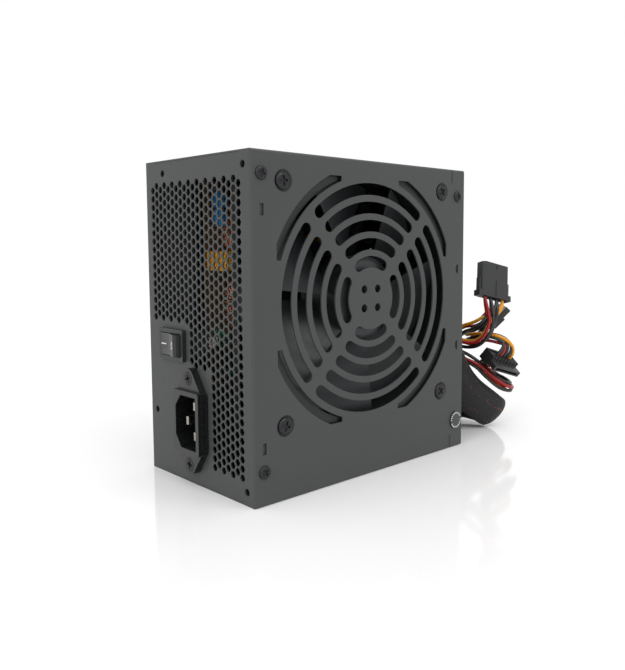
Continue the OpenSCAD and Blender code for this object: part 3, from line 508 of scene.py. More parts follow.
def softened(
    mesh: bpy.types.Mesh, width: float, segments: int = 2, sharp: float = 32.0, merge: bool = True
) -> bpy.types.Mesh:
    """Rounds a mesh's sharp edges a little, so that they catch the light as real edges do.

    Args:
        mesh: the mesh, which is used up.
        width: the width of the rounding in millimetres.
        segments: how many faces each rounding has.
        sharp: edges that turn by more than this many degrees are rounded.
        merge: whether loose triangles are joined first.

    Returns:
        The rounded mesh.
    """
    if merge:
        bm = bmesh.new()
        bm.from_mesh(mesh)
        bmesh.ops.remove_doubles(bm, verts=bm.verts, dist=2e-6)
        bmesh.ops.dissolve_limit(
            bm, angle_limit=math.radians(0.6), verts=bm.verts, edges=bm.edges, use_dissolve_boundaries=False
        )
        bm.to_mesh(mesh)
        bm.free()
    holder = bpy.data.objects.new("softening", mesh)
    bpy.context.scene.collection.objects.link(holder)
    bevel = holder.modifiers.new("edge", "BEVEL")
    bevel.width, bevel.segments, bevel.limit_method = width * MM, segments, "ANGLE"
    bevel.angle_limit, bevel.use_clamp_overlap = math.radians(sharp), True
    return evened(settled(holder))


def copy_of(node: str) -> bpy.types.Mesh:
    """Returns a copy of a CAD node's mesh."""
    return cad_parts[node].data.copy()


def refinish(node: str, finish: Finish, width: float = 0.25, body: Body = Body.CASING) -> None:
    """Replaces a CAD node with a copy that has softened edges and a real finish.

    Args:
        node: the CAD node.
        finish: its finish.
        width: the width of its rounded edges in millimetres.
        body: the body that it rides on.
    """
    register(f"{node}_finished", softened(copy_of(node), width), [finish], [node], body)


def ring_of(radius: float, sides: int) -> list[Flat]:
    """Returns the corners of a regular polygon round the origin."""
    turns = (math.tau * k / sides for k in range(sides))
    return [(radius * math.cos(t), radius * math.sin(t)) for t in turns]


def bands(bm: bmesh.types.BMesh, rings: Sequence[Sequence[bmesh.types.BMVert]]) -> None:
    """Joins each closed ring of points to the next one with a band of faces."""
    for low, high in zip(rings, rings[1:]):
        for k, point in enumerate(low):
            after = (k + 1) % len(low)
            bm.faces.new((point, low[after], high[after], high[k]))


def lathe(profile: Sequence[Flat], sides: int, centre: Point) -> bmesh.types.BMesh:
    """Turns a profile round an axis along Y.

    Args:
        profile: points as (distance along the axis, radius), from one end to the other.
        sides: how many faces go round.
        centre: a point on the axis, in millimetres.

    Returns:
        A closed mesh in metres.
    """
    bm = bmesh.new()
    x, y, z = centre
    rows = []
    for along, radius in profile:
        ring = ring_of(max(radius, 0.01), sides)
        rows.append([bm.verts.new(((x + a) * MM, (y + along) * MM, (z + b) * MM)) for a, b in ring])
    bands(bm, rows)
    bm.faces.new(rows[0])
    bm.faces.new(rows[-1])
    bmesh.ops.recalc_face_normals(bm, faces=bm.faces)
    return bm


def box_mesh(bm: bmesh.types.BMesh, low: Point, high: Point, turn: Matrix | None = None) -> None:
    """Adds a box.

    Args:
        bm: the mesh that gets it.
        low: its lowest corner in millimetres.
        high: its highest corner in millimetres.
        turn: a placement in metres that the box gets, if any.
    """
    made = bmesh.ops.create_cube(bm, size=1.0)["verts"]
    for vert in made:
        vert.co = Vector(((a + b) / 2 + c * (b - a)) * MM for a, b, c in zip(low, high, vert.co))
        if turn is not None:
            vert.co = turn @ vert.co


def mesh_from(bm: bmesh.types.BMesh, name: str) -> bpy.types.Mesh:
    """Turns a bmesh into a named mesh and frees it."""
    mesh = bpy.data.meshes.new(name)
    bm.to_mesh(mesh)
    bm.free()
    return mesh


def joined(name: str, meshes: Sequence[bpy.types.Mesh]) -> bpy.types.Mesh:
    """Puts several meshes, which are used up, into one."""
    bm = bmesh.new()
    for mesh in meshes:
        bm.from_mesh(mesh)
        bpy.data.meshes.remove(mesh)
    return mesh_from(bm, name)


# ---- geometry nodes --------------------------------------------------------------------------


class Recipe:
    """A Geometry Nodes tree with named inputs, which makes what repeats."""

    def __init__(self, name: str) -> None:
        """Starts a tree.

        Args:
            name: the tree's name.
        """
        self.tree = bpy.data.node_groups.new(name, "GeometryNodeTree")
        self.tree.interface.new_socket("Geometry", in_out="OUTPUT", socket_type="NodeSocketGeometry")
        self.start = self.tree.nodes.new("NodeGroupInput")
        self.end = self.tree.nodes.new("NodeGroupOutput")

    def ask(self, name: str, kind: str) -> bpy.types.NodeSocket:
        """Adds a named input.

        Args:
            name: the input's name.
            kind: its socket's type, such as "Float".

        Returns:
            The socket that gives its value.
        """
        self.tree.interface.new_socket(name, in_out="INPUT", socket_type=f"NodeSocket{kind}")
        return self.start.outputs[name]

    def add(self, kind: str, inputs: dict | None = None, **settings: object) -> bpy.types.Node:
        """Adds a node of a geometry kind, such as "RealizeInstances"."""
        return add_node(self.tree, kind if "Node" in kind else f"GeometryNode{kind}", inputs, **settings)

    def close(self, geometry: bpy.types.NodeSocket, merge_mm: float = 0.0) -> None:
        """Ends the tree with plain, dressed geometry.

        Args:
            geometry: what the tree has made.
            merge_mm: points nearer than this are joined.
        """
        finish = self.ask("Finish", "Material")
        plain = self.add("RealizeInstances", {0: geometry})
        out = plain.outputs[0]
        if merge_mm:
            out = self.add("MergeByDistance", {"Geometry": out, "Distance": merge_mm * MM}).outputs[0]
        dressed = self.add("SetMaterial", {"Geometry": out, "Material": finish})
        self.tree.links.new(dressed.outputs[0], self.end.inputs[0])

    def cook(self, values: dict[str, object], base: bpy.types.Mesh | None = None) -> bpy.types.Mesh:
        """Runs the tree.

        Args:
            values: a value for each named input.
            base: the mesh that goes in, if it takes one.

        Returns:
            The plain mesh that it makes.
        """
        holder = bpy.data.objects.new("cooking", base or bpy.data.meshes.new("empty"))
        bpy.context.scene.collection.objects.link(holder)
        modifier = holder.modifiers.new("recipe", "NODES")
        modifier.node_group = self.tree
        names = {i.name: i.identifier for i in self.tree.interface.items_tree if i.in_out == "INPUT"}
        for name, value in values.items():
            modifier[names[name]] = value
        return settled(holder)


def helper_object(mesh: bpy.types.Mesh) -> bpy.types.Object:
    """Returns an object that a recipe repeats, hidden from the picture."""
    helper = bpy.data.objects.new("pattern", mesh)
    bpy.context.scene.collection.objects.link(helper)
    helper.hide_render = True
    return helper


def points_mesh(points: Sequence[Point]) -> bpy.types.Mesh:
    """Returns a mesh of loose points given in millimetres."""
    mesh = bpy.data.meshes.new("points")
    mesh.from_pydata([tuple(c * MM for c in p) for p in points], [], [])
    return mesh


def panel_recipe() -> Recipe:
    """Returns the tree that fills a sheet's outline and punches a collared hole at each loose point."""
    recipe = Recipe("punched_panel")
    shape = recipe.ask("Outline", "Geometry")
    radius = recipe.ask("Hole Radius", "Float")
    thick = recipe.ask("Thickness", "Float")
    collar = recipe.ask("Collar", "Object")
    degree = recipe.add("InputMeshVertexNeighbors")
    lone = recipe.add("FunctionNodeCompare", {2: degree.outputs[0], 3: 0}, data_type="INT", operation="EQUAL")
    hole = recipe.add("CurvePrimitiveCircle", {"Resolution": 6, "Radius": radius})
    holes = recipe.add(
        "InstanceOnPoints", {"Points": shape, "Selection": lone.outputs[0], "Instance": hole.outputs[0]}
    )
    plain = recipe.add("RealizeInstances", {0: holes.outputs[0]})
    loops = recipe.add("MeshToCurve", {"Mesh": shape})
    every = recipe.add("JoinGeometry")
    for part in (plain, loops):
        recipe.tree.links.new(part.outputs[0], every.inputs[0])
    front = recipe.add("FillCurve", {0: every.outputs[0]})
    drop = recipe.add("ShaderNodeCombineXYZ", {"Z": thick})
    back = recipe.add("Transform", {"Geometry": front.outputs[0], "Translation": drop.outputs[0]})
    info = recipe.add("ObjectInfo", {"Object": collar})
    places = {"Points": shape, "Selection": lone.outputs[0], "Instance": info.outputs["Geometry"]}
    rims = recipe.add("InstanceOnPoints", places)
    both = recipe.add("JoinGeometry")
    for part in (front, back, rims):
        recipe.tree.links.new(part.outputs[0], both.inputs[0])
    recipe.close(both.outputs[0], 0.002)
    return recipe


@cache
def spread_recipe() -> Recipe:
    """Returns the tree that puts one turned copy of a piece at each point."""
    recipe = Recipe("copies_at_points")
    points = recipe.ask("Points", "Geometry")
    piece = recipe.ask("Piece", "Object")
    axis = recipe.ask("Axis", "Vector")
    step = recipe.ask("Turn Step", "Float")
    loose = recipe.ask("Loose Turn", "Float")
    index = recipe.add("InputIndex")
    even = sum_of(recipe.tree, "MULTIPLY", index.outputs[0], step)
    random = recipe.add("FunctionNodeRandomValue", {"Max": loose, "Seed": 7}, data_type="FLOAT")
    reach = [s for s in random.inputs if s.name == "Max" and s.type == "VALUE"][0]
    recipe.tree.links.new(loose, reach)
    chance = next(o for o in random.outputs if o.enabled)
    total = sum_of(recipe.tree, "ADD", even, chance)
    turn = recipe.add("FunctionNodeAxisAngleToRotation", {"Axis": axis, "Angle": total})
    info = recipe.add("ObjectInfo", {"Object": piece})
    places = {"Points": points, "Instance": info.outputs["Geometry"], "Rotation": turn.outputs[0]}
    recipe.close(recipe.add("InstanceOnPoints", places).outputs[0])
    return recipe


def spread(
    piece: bpy.types.Mesh,
    points: Sequence[Point],
    finish: Finish,
    axis: Point = (0.0, 1.0, 0.0),
    step: float = 0.0,
    loose: float = 0.0,
) -> bpy.types.Mesh:
    """Puts a copy of a piece at each point.

    Args:
        piece: the piece's mesh.
        points: the places in millimetres.
        finish: the copies' finish.
        axis: the way that the copies turn about.
        step: how much further each copy turns than the one before it.
        loose: the largest chance turn of a copy.

    Returns:
        The copies as one mesh.
    """
    pattern = helper_object(piece)
    values = {"Piece": pattern, "Axis": axis, "Turn Step": step, "Loose Turn": loose}
    made = spread_recipe().cook({**values, "Finish": finish.material()}, points_mesh(points))
    bpy.data.objects.remove(pattern)
    return made


# ---- camera, light and floor -----------------------------------------------------------------


@dataclass
class Studio:
    """A white sweep under broad soft lights, seen from the fan side's rear corner."""

    eye: Point = (-247.19, -285.42, 112.82)
    azimuth: float = -45.05
    elevation: float = 5.21
    lens: float = 39.1
    shift: Flat = (-0.0804, -0.0422)
    floor_size: float = 9.0
    room_light: float = 0.62
    ceiling: float = 1.35
    # each soft light's name, place, target, size and power
    lights: tuple[tuple[str, Point, Point, Flat, float], ...] = (
        ("key", (0.35, -1.3, 1.35), (0.0, 0.0, 0.06), (1.2, 0.9), 7),
        ("fill", (-1.5, -0.3, 0.9), (0.0, 0.0, 0.07), (0.9, 0.9), 8),
    )

    def set_camera(self) -> None:
        """Makes the camera."""
        camera = bpy.data.objects.new("camera", bpy.data.cameras.new("camera"))
        bpy.context.scene.collection.objects.link(camera)
        turn, rise = math.radians(self.azimuth), math.radians(self.elevation)
        back = Vector((math.sin(turn) * math.cos(rise), -math.cos(turn) * math.cos(rise), math.sin(rise)))
        camera.rotation_mode = "QUATERNION"
        camera.rotation_quaternion = (-back).to_track_quat("-Z", "Y")
        camera.location = [c * MM for c in self.eye]
        camera.data.lens, camera.data.sensor_width = self.lens, 36.0
        camera.data.shift_x, camera.data.shift_y = self.shift
        camera.data.clip_start, camera.data.clip_end = 0.01, 40
        bpy.context.scene.camera = camera

    def add_light(self, name: str, place: Point, target: Point, size: Flat, power: float) -> None:
        """Adds a rectangular soft light.

        Args:
            name: the light's name.
            place: where it is, in metres.
            target: the point that it faces, in metres.
            size: its sides in metres.
            power: its power in watts.
        """
        data = bpy.data.lights.new(name, "AREA")
        data.shape, data.size, data.size_y, data.energy = "RECTANGLE", size[0], size[1], power
        light = bpy.data.objects.new(name, data)
        bpy.context.scene.collection.objects.link(light)
        light.location = place
        light.rotation_mode = "QUATERNION"
        light.rotation_quaternion = (Vector(target) - Vector(place)).to_track_quat("-Z", "Y")

    def build(self) -> None:
        """Makes the world, the lights and the floor."""
        scene = bpy.context.scene
        scene.view_settings.view_transform = "Standard"
        scene.world = bpy.data.worlds.new("white_room")
        scene.world.use_nodes = True
        tree = scene.world.node_tree
        sky = tree.nodes["Background"]
        sky.inputs[0].default_value = (1.0, 1.0, 1.0, 1.0)
        # the room behind is blank white, and the room around gives less light than that
        path = add_node(tree, "ShaderNodeLightPath")
        direct = sum_of(tree, "ADD", path.outputs["Is Camera Ray"], path.outputs["Is Glossy Ray"])
        level = add_node(tree, "ShaderNodeMapRange", {0: direct, 3: self.room_light, 4: 1.0})
        tree.links.new(level.outputs[0], sky.inputs[1])
        for light in self.lights:
            self.add_light(*light)
        sun = bpy.data.objects.new("ceiling", bpy.data.lights.new("ceiling", "SUN"))
        sun.data.energy, sun.data.angle = self.ceiling, math.radians(75)
        sun.rotation_euler = (math.radians(12), math.radians(-10), 0)
        scene.collection.objects.link(sun)
        bm = bmesh.new()
        bmesh.ops.create_grid(bm, x_segments=1, y_segments=1, size=self.floor_size / 2)
        mesh = mesh_from(bm, "floor")
        floor = bpy.data.objects.new("floor", mesh)
        scene.collection.objects.link(floor)
        # White acrylic sheet: bright, with a faint mirror at a low angle.
        acrylic = Finish(
            "white_acrylic", "#f6f6f6", 0.09, grain_mm=40, lift_mm=0.001, specular=0.8, spread=0.01
        )
        mesh.materials.append(acrylic.material())


# ---- cords -----------------------------------------------------------------------------------


def smooth_line(points: Sequence[Point], step: float = 1.6) -> np.ndarray:
    """Draws one smooth curve through some points.

    Args:
        points: the points in millimetres.
        step: the distance between the curve's own points.

    Returns:
        The curve's points in millimetres, evenly spaced.
    """
    p = np.array(points, float)
    p = np.vstack([2 * p[0] - p[1], p, 2 * p[-1] - p[-2]])
    found = []
    for a, b, c, d in zip(p, p[1:], p[2:], p[3:]):
        for t in np.linspace(0, 1, 24, endpoint=False):
            found.append(
                0.5
                * (2 * b + (c - a) * t + (2 * a - 5 * b + 4 * c - d) * t**2 + (3 * b - a - 3 * c + d) * t**3)
            )
    found.append(p[-2])
    fine = np.array(found)
    run = np.concatenate([[0], np.cumsum(np.linalg.norm(np.diff(fine, axis=0), axis=1))])
    even = np.linspace(0, run[-1], max(int(run[-1] / step), 8) + 1)
    return np.column_stack([np.interp(even, run, fine[:, k]) for k in range(3)])


def length_of(line: np.ndarray) -> float:
    """Returns a line's length in millimetres."""
    return float(np.linalg.norm(np.diff(line, axis=0), axis=1).sum())


def sides_of(line: np.ndarray, edge: np.ndarray | None = None) -> tuple[np.ndarray, np.ndarray]:
    """Gives two directions across a line at each of its points.

    Args:
        line: the line's points.
        edge: the way a flat cable is wide at each point, or nothing for a round one.

    Returns:
        Two arrays of unit vectors, the second of them the wide one.
    """
    ahead = np.gradient(line, axis=0)
    ahead /= np.linalg.norm(ahead, axis=1)[:, None]
    if edge is not None:
        side = np.cross(ahead, edge)
        side /= np.linalg.norm(side, axis=1)[:, None]
    else:
        side = np.zeros_like(line)
        now = np.cross(ahead[0], [0.02, 0.03, 1.0])
        for k, t in enumerate(ahead):
            now = now - now.dot(t) * t
            now /= np.linalg.norm(now)
            side[k] = now
    return side, np.cross(side, ahead)


class TubeMesh:
    """Collects closed tubes, each with its finish and a UV map that follows it, into one mesh."""

    def __init__(self) -> None:
        """Starts with nothing."""
        self.verts: list[np.ndarray] = []
        self.faces: list[tuple[int, ...]] = []
        self.maps: list[tuple[Flat, ...]] = []
        self.kinds: list[int] = []
        self.total = 0

    def add(
        self,
        line: np.ndarray,
        wide: np.ndarray | float,
        thin: np.ndarray | float,
        sides: int = 10,
        kind: int = 0,
        edge: np.ndarray | None = None,
    ) -> None:
        """Adds a tube.

        Args:
            line: its centreline in millimetres.
            wide: half its size along its second direction.
            thin: half its size along its first direction.
            sides: how many faces go round.
            kind: its finish's number.
            edge: the way it is wide at each point, if it is flat.
        """
        first, second = sides_of(line, edge)
        n = len(line)
        wide, thin = np.broadcast_to(wide, n), np.broadcast_to(thin, n)
        turns = math.tau * np.arange(sides) / sides
        ring = (
            line[:, None, :]
            + first[:, None, :] * (thin[:, None] * np.cos(turns))[:, :, None]
            + second[:, None, :] * (wide[:, None] * np.sin(turns))[:, :, None]
        )
        run = np.concatenate([[0], np.cumsum(np.linalg.norm(np.diff(line, axis=0), axis=1))])
        girth = math.pi * float(wide.mean() + thin.mean())
        at = self.total
        for i in range(n - 1):
            for k in range(sides):
                a, b = at + i * sides + k, at + i * sides + (k + 1) % sides
                self.faces.append((a, b, b + sides, a + sides))
                u0, u1, v0, v1 = k / sides, (k + 1) / sides, run[i] / girth, run[i + 1] / girth
                self.maps.append(((u0, v0), (u1, v0), (u1, v1), (u0, v1)))
                self.kinds.append(kind)
        for corners in (range(sides - 1, -1, -1), range((n - 1) * sides, n * sides)):
            self.faces.append(tuple(at + c for c in corners))
            self.maps.append(tuple((0.0, 0.0) for _ in corners))
            self.kinds.append(kind)
        self.verts.append(ring.reshape(-1, 3) * MM)
        self.total += n * sides

    def mesh(self, name: str) -> bpy.types.Mesh:
        """Returns the mesh that holds every tube so far."""
        mesh = bpy.data.meshes.new(name)
        mesh.from_pydata(np.vstack(self.verts).tolist(), [], self.faces)
        lay = mesh.uv_layers.new(name="lay")
        lay.data.foreach_set("uv", [c for face in self.maps for uv in face for c in uv])
        mesh.polygons.foreach_set("material_index", self.kinds)
        bm = bmesh.new()
        bm.from_mesh(mesh)
        bmesh.ops.recalc_face_normals(bm, faces=bm.faces)
        bm.to_mesh(mesh)
        bm.free()
        mesh.shade_smooth()
        return mesh


@dataclass(frozen=True)
class Fan:
    """How a loom's wires part where they enter a plug."""

    across: Point
    pitch: float
    length: float = 16.0


def ease(value: np.ndarray) -> np.ndarray:
    """Returns a smooth step from 0 to 1."""
    t = np.clip(value, 0, 1)
    return t * t * (3 - 2 * t)


@dataclass
class Loom:
    """Loose wires side by side, which twist slowly and part at their plugs."""

    name: str
    colours: tuple[str, ...]
    wire_r: float = 1.0
    spread: float = 1.9
    loose: float = 0.0
    seed: int = 1
    start: Fan | None = None
    end: Fan | None = None

    def wires(self, line: np.ndarray) -> TubeMesh:
        """Lays the wires along a line.

        Args:
            line: the loom's centreline in millimetres.

        Returns:
            The wires' tubes.
        """
        rng = np.random.default_rng(self.seed)
        first, second = sides_of(line)
        run = np.concatenate([[0], np.cumsum(np.linalg.norm(np.diff(line, axis=0), axis=1))])
        tubes = TubeMesh()
        count = len(self.colours)
        for k in range(count):
            wave = rng.uniform(30, 60, 3)
            phase = rng.uniform(0, math.tau, 3)
            turn = math.tau * k / count + run / 55 + 0.35 * np.sin(math.tau * run / wave[0] + phase[0])
            away = self.spread + self.loose * (0.5 + 0.5 * np.sin(math.tau * run / wave[1] + phase[1]))
            offset = first * (away * np.cos(turn))[:, None] + second * (away * np.sin(turn))[:, None]
            place = (k - (count - 1) / 2) * 1.0
            for fan, gone in ((self.start, run), (self.end, run[-1] - run)):
                if fan is not None:
                    near = 1 - ease((gone - 2.0) / fan.length)
                    pin = np.array(fan.across) * fan.pitch * place
                    offset = offset * (1 - near)[:, None] + pin * near[:, None]
            tubes.add(line + offset, self.wire_r, self.wire_r, 8, k)
        return tubes


def lanes(rows: Sequence[Flat], low: float, high: float, down_first: bool = True) -> list[Point]:
    """Folds a cable to and fro along Y.

    Args:
        rows: each run's X and Z.
        low: the Y where the runs turn at their lower end.
        high: the Y where they turn at their upper end.
        down_first: whether the first run goes towards lower Y.

    Returns:
        Points of the folded part.
    """
    points: list[Point] = []
    down = down_first
    for (x, z), after in zip(rows, [*rows[1:], None]):
        begin, end = (high, low) if down else (low, high)
        points += [(x, begin + (end - begin) * t, z) for t in (0.0, 0.25, 0.5, 0.75, 1.0)]
        if after is not None:
            half = math.dist((x, z), after) / 2
            sign = -1 if down else 1
            for turn in (45, 90, 135):
                share = (1 - math.cos(math.radians(turn))) / 2
                points.append(
                    (
                        x + (after[0] - x) * share,
                        end + sign * half * math.sin(math.radians(turn)),
                        z + (after[1] - z) * share,
                    )
                )
        down = not down
    return points


@dataclass
class Harness:
    """The four output cables: where they run, how they fold, and what is on their ends."""

    main_route: Sequence[Point] = (
        (68, 12, 109.3), (73, 12, 109.3), (80, 12, 109.3), (86, 10, 106), (89, 5, 98), (89, -2, 88),
        (88.6, -9, 77), (88.4, -14.6, 65), (88.4, -18, 54), (89, -20.6, 44), (91, -22.4, 35),
        (94.6, -24.4, 27.4), (99, -27, 21.4), (104, -29.4, 17), (108.6, -31.6, 13.2), (112.6, -33, 10.2),
        (116.6, -31.6, 9.2), (118.6, -27, 9.8), (117.4, -20, 11.6), (114.6, -12, 12.8), (111, -5, 12.6),
        (108.7, 3, 12.4),
    )
    main_wide: Sequence[float] = (
        6, 6, 6, 6, 6, 6, 6, 6.2, 6.8, 8, 9.4, 10.2, 10.6, 10.6, 10.6, 10.4, 9.8, 10.2, 10.6, 10.8, 10.8,
        10.8,
    )
    main_lean: Point = (0.53, -0.43, 0.727)
    lean_until: float = 16.0
    main_r: float = 6.0
    main_girth: float = 14.6
    round_from: float = 95.0
    round_over: float = 40.0
    main_tail: Sequence[Point] = (
        (90, 65, 12.4), (90.8, 70.4, 12.8), (95.4, 75.4, 15), (103, 76.6, 20), (111, 76, 27.6), (116, 72, 37),
        (118, 65, 46), (117.6, 55, 54), (113.4, 51, 58.4), (108, 47.6, 58.6), (101.4, 47.4, 58.6),
    )
    cpu_route: Sequence[Point] = (
        (68, 6, 98.8), (73, 6, 98.8), (77, 6, 98.8), (80, 8, 95), (80.6, 12, 86), (80.6, 18, 75),
        (80.6, 26, 64), (80.6, 36, 53), (80.6, 48, 44.6), (80.8, 58, 38.6), (82.4, 66, 36),
        (86.4, 70.6, 35.4), (90, 69, 35.4), (90.6, 65.6, 35.4),
    )
    cpu_tail: Sequence[Point] = (
        (92, 65, 27.4), (89, 71, 26.4), (83.4, 73.6, 22.6), (79.4, 70.4, 16.6), (78.4, 64, 12),
        (78.4, 57.2, 10.6),
    )
    sata_in: Sequence[Point] = (
        (68, 14.2, 97.6), (73, 14.2, 97.6), (77, 14.2, 97.6), (81, 17, 94), (84, 21, 87), (84.4, 27, 78),
        (83.4, 34, 69.4), (82, 44, 62), (81.6, 56, 56.4), (81.8, 66, 50.6), (83.4, 74, 45.6),
        (88, 78.6, 43), (94.6, 78.8, 42.4), (100, 74.6, 42.4), (101.4, 66.6, 42.4),
    )
    sata_out: Sequence[Point] = (
        (88.6, 0.6, 42.4), (90.6, -5.4, 43.4), (95, -11.6, 45.2), (100.6, -17, 44.6), (106, -27, 38.4),
        (110, -33, 32), (114.6, -37.4, 27), (120, -39, 24.6), (125, -36, 24.4), (127.6, -30, 26.4),
        (126, -24.6, 29.6), (121.6, -21.4, 32.4), (117.6, -22.2, 34.6), (116.6, -27, 38.4),
        (116.7, -31.4, 41.2),
    )
    sata_next: Sequence[Point] = (
        (116.4, -36.8, 41.8), (118, -40, 46.4), (118.4, -39.6, 51), (115.6, -34, 54.4), (112.4, -27, 55.2),
        (110.8, -20.6, 54.4), (112.6, -15.6, 53.4), (117, -14.4, 53.8), (121, -17, 57),
        (122.4, -22.9, 61.6),
    )
    molex_in: Sequence[Point] = (
        (68, 20.3, 101), (73, 20.3, 101), (78, 20.3, 101), (84, 22, 98), (89, 26, 91), (91, 31, 82),
        (92, 36, 75.6), (93.6, 44, 72), (95, 56, 70.8), (96, 68, 68.6), (95.4, 75.6, 63.6),
        (92.6, 78.6, 56.6), (89.6, 76, 51), (88.6, 71, 48.8), (88.6, 66.6, 48.5),
    )
    molex_out: Sequence[Point] = (
        (101, 0.6, 48.5), (103, -6, 50.4), (104.4, -12, 55.4), (104.8, -18, 59.6), (104.2, -25, 61.4),
        (104.6, -31, 64.4), (107.6, -35, 69.6), (110, -35.2, 76), (110.6, -34.4, 79.6),
    )
    molex_next: Sequence[Point] = (
        (111, -34.4, 79.6), (109.4, -36.4, 73), (107.4, -37, 65), (105.4, -34.4, 57.4),
        (103.6, -28.6, 52.4), (101, -21, 51.6), (98.6, -13, 53.6), (96.4, -6, 55.6), (95.4, 0.4, 57),
    )
    drive_across: Point = (0.939, -0.255, -0.23)
    disk_across: Point = (0.956, -0.06, -0.288)

    def plug(self, node: str) -> bpy.types.Object:
        """Makes the plugs of one kind, with softened edges."""
        mesh = softened(copy_of(node), 0.25)
        return register(f"{node}_finished", mesh, [NYLON], [node])

    def build_main(self) -> None:
        """Lays the flat braided cable of the main board's plug."""
        folded = lanes([(108.7, 12.4), (99.35, 12.4), (90.0, 12.4)], 13.0, 57.0, down_first=False)
        line = smooth_line([*self.main_route, *folded, *self.main_tail], 1.8)
        run = np.concatenate([[0], np.cumsum(np.linalg.norm(np.diff(line, axis=0), axis=1))])
        parts = [self.main_route[: k + 1] for k in range(1, len(self.main_route))]
        marks = np.array([0.0, *(length_of(smooth_line(part, 1.0)) for part in parts)])
        wide = np.interp(run, marks, self.main_wide)
        # it is round again over its last stretch, before the plug
        close = ease((run - (run[-1] - self.round_from)) / self.round_over)
        wide = wide * (1 - close) + self.main_r * close
        # a flattened sleeve keeps its girth
        thin = np.clip(self.main_girth - wide, 4.0, self.main_r)
        knot = np.interp(run, marks, np.arange(len(marks)))
        share = ease((knot - self.lean_until) / 4.0)[:, None]
        edge = np.array(self.main_lean) * (1 - share) + np.array([0.0, 0.0, 1.0]) * share
        tubes = TubeMesh()
        tubes.add(line, wide, thin, 28, 0, edge)
        sleeve = tubes.mesh("main_cable_sleeve")
        piece = register("main_cable_sleeve", sleeve, [BRAID], ["main_cable", "main_hank"])

    def build_cpu(self) -> None:
        """Lays the round braided cable of the processor's plug."""
        rows = [(90.6, 35.3), (99.25, 35.3), (107.9, 35.3), (107.9, 27.4), (99.25, 27.4), (90.6, 27.4)]
        line = smooth_line([*self.cpu_route, *lanes(rows, 6.0, 59.0)[1:], *self.cpu_tail], 1.6)
        tubes = TubeMesh()
        tubes.add(line, 4.0, 4.0, 18, 0)
        sleeve = tubes.mesh("cpu_cable_sleeve")
        nodes = ["cpu_cable", "cpu_hank"]
        piece = register("cpu_cable_sleeve", sleeve, [SLIM_BRAID], nodes)

    def build_loom(
        self,
        loom: Loom,
        points: Sequence[Point],
        nodes: Sequence[str],
    ) -> None:
        """Lays an open loom of coloured wires.

        Args:
            loom: the wires.
            points: the route in millimetres.
            nodes: the CAD solids that it stands for.
        """
        line = smooth_line(points, 1.6)
        finishes = [PVC[c] for c in loom.colours]
        piece = register(loom.name, loom.wires(line).mesh(loom.name), finishes, nodes)

    def build(self) -> None:
        """Makes the cables, the plugs and the tie."""
        nodes = ("main_connector", "cpu_connector", "sata_connectors", "molex_connectors")
        main, cpu, sata, molex = (self.plug(node) for node in nodes)
        self.build_main()
        self.build_cpu()
        disk = Fan(self.disk_across, 3.1)
        drive = Fan(self.drive_across, 4.5)
        disk_wires = ("black", "red", "black", "scarlet", "yellow")
        short_wires = ("black", "red", "black", "black", "yellow")
        folded = lanes([(101.4, 42.4), (95.0, 42.4), (88.6, 42.4)], 6.0, 60.0)
        self.build_loom(
            Loom("disk_loom_long", disk_wires, loose=0.8, seed=3, end=disk),
            [*self.sata_in, *folded[1:], *self.sata_out],
            ["sata_cable", "sata_hank"],
        )
        self.build_loom(
            Loom("disk_loom_short", short_wires, loose=0.8, seed=5, start=disk),
            self.sata_next,
            [],
        )
        folded = lanes([(88.6, 48.5), (95.0, 48.5), (101.4, 48.5)], 6.0, 60.0)
        drive_wires = ("red", "black", "black", "yellow")
        self.build_loom(
            Loom("drive_loom_long", drive_wires, spread=1.7, loose=0.8, seed=8, end=drive),
            [*self.molex_in, *folded[1:], *self.molex_out],
            ["molex_cable", "molex_hank"],
        )
        self.build_loom(
            Loom("drive_loom_short", drive_wires, spread=1.7, loose=0.8, seed=9, start=drive),
            self.molex_next,
            [],
        )
        refinish("cable_tie", NYLON, 0.2)
        refinish("exit_grommet", NYLON, 0.3)


# ---- casing ----------------------------------------------------------------------------------


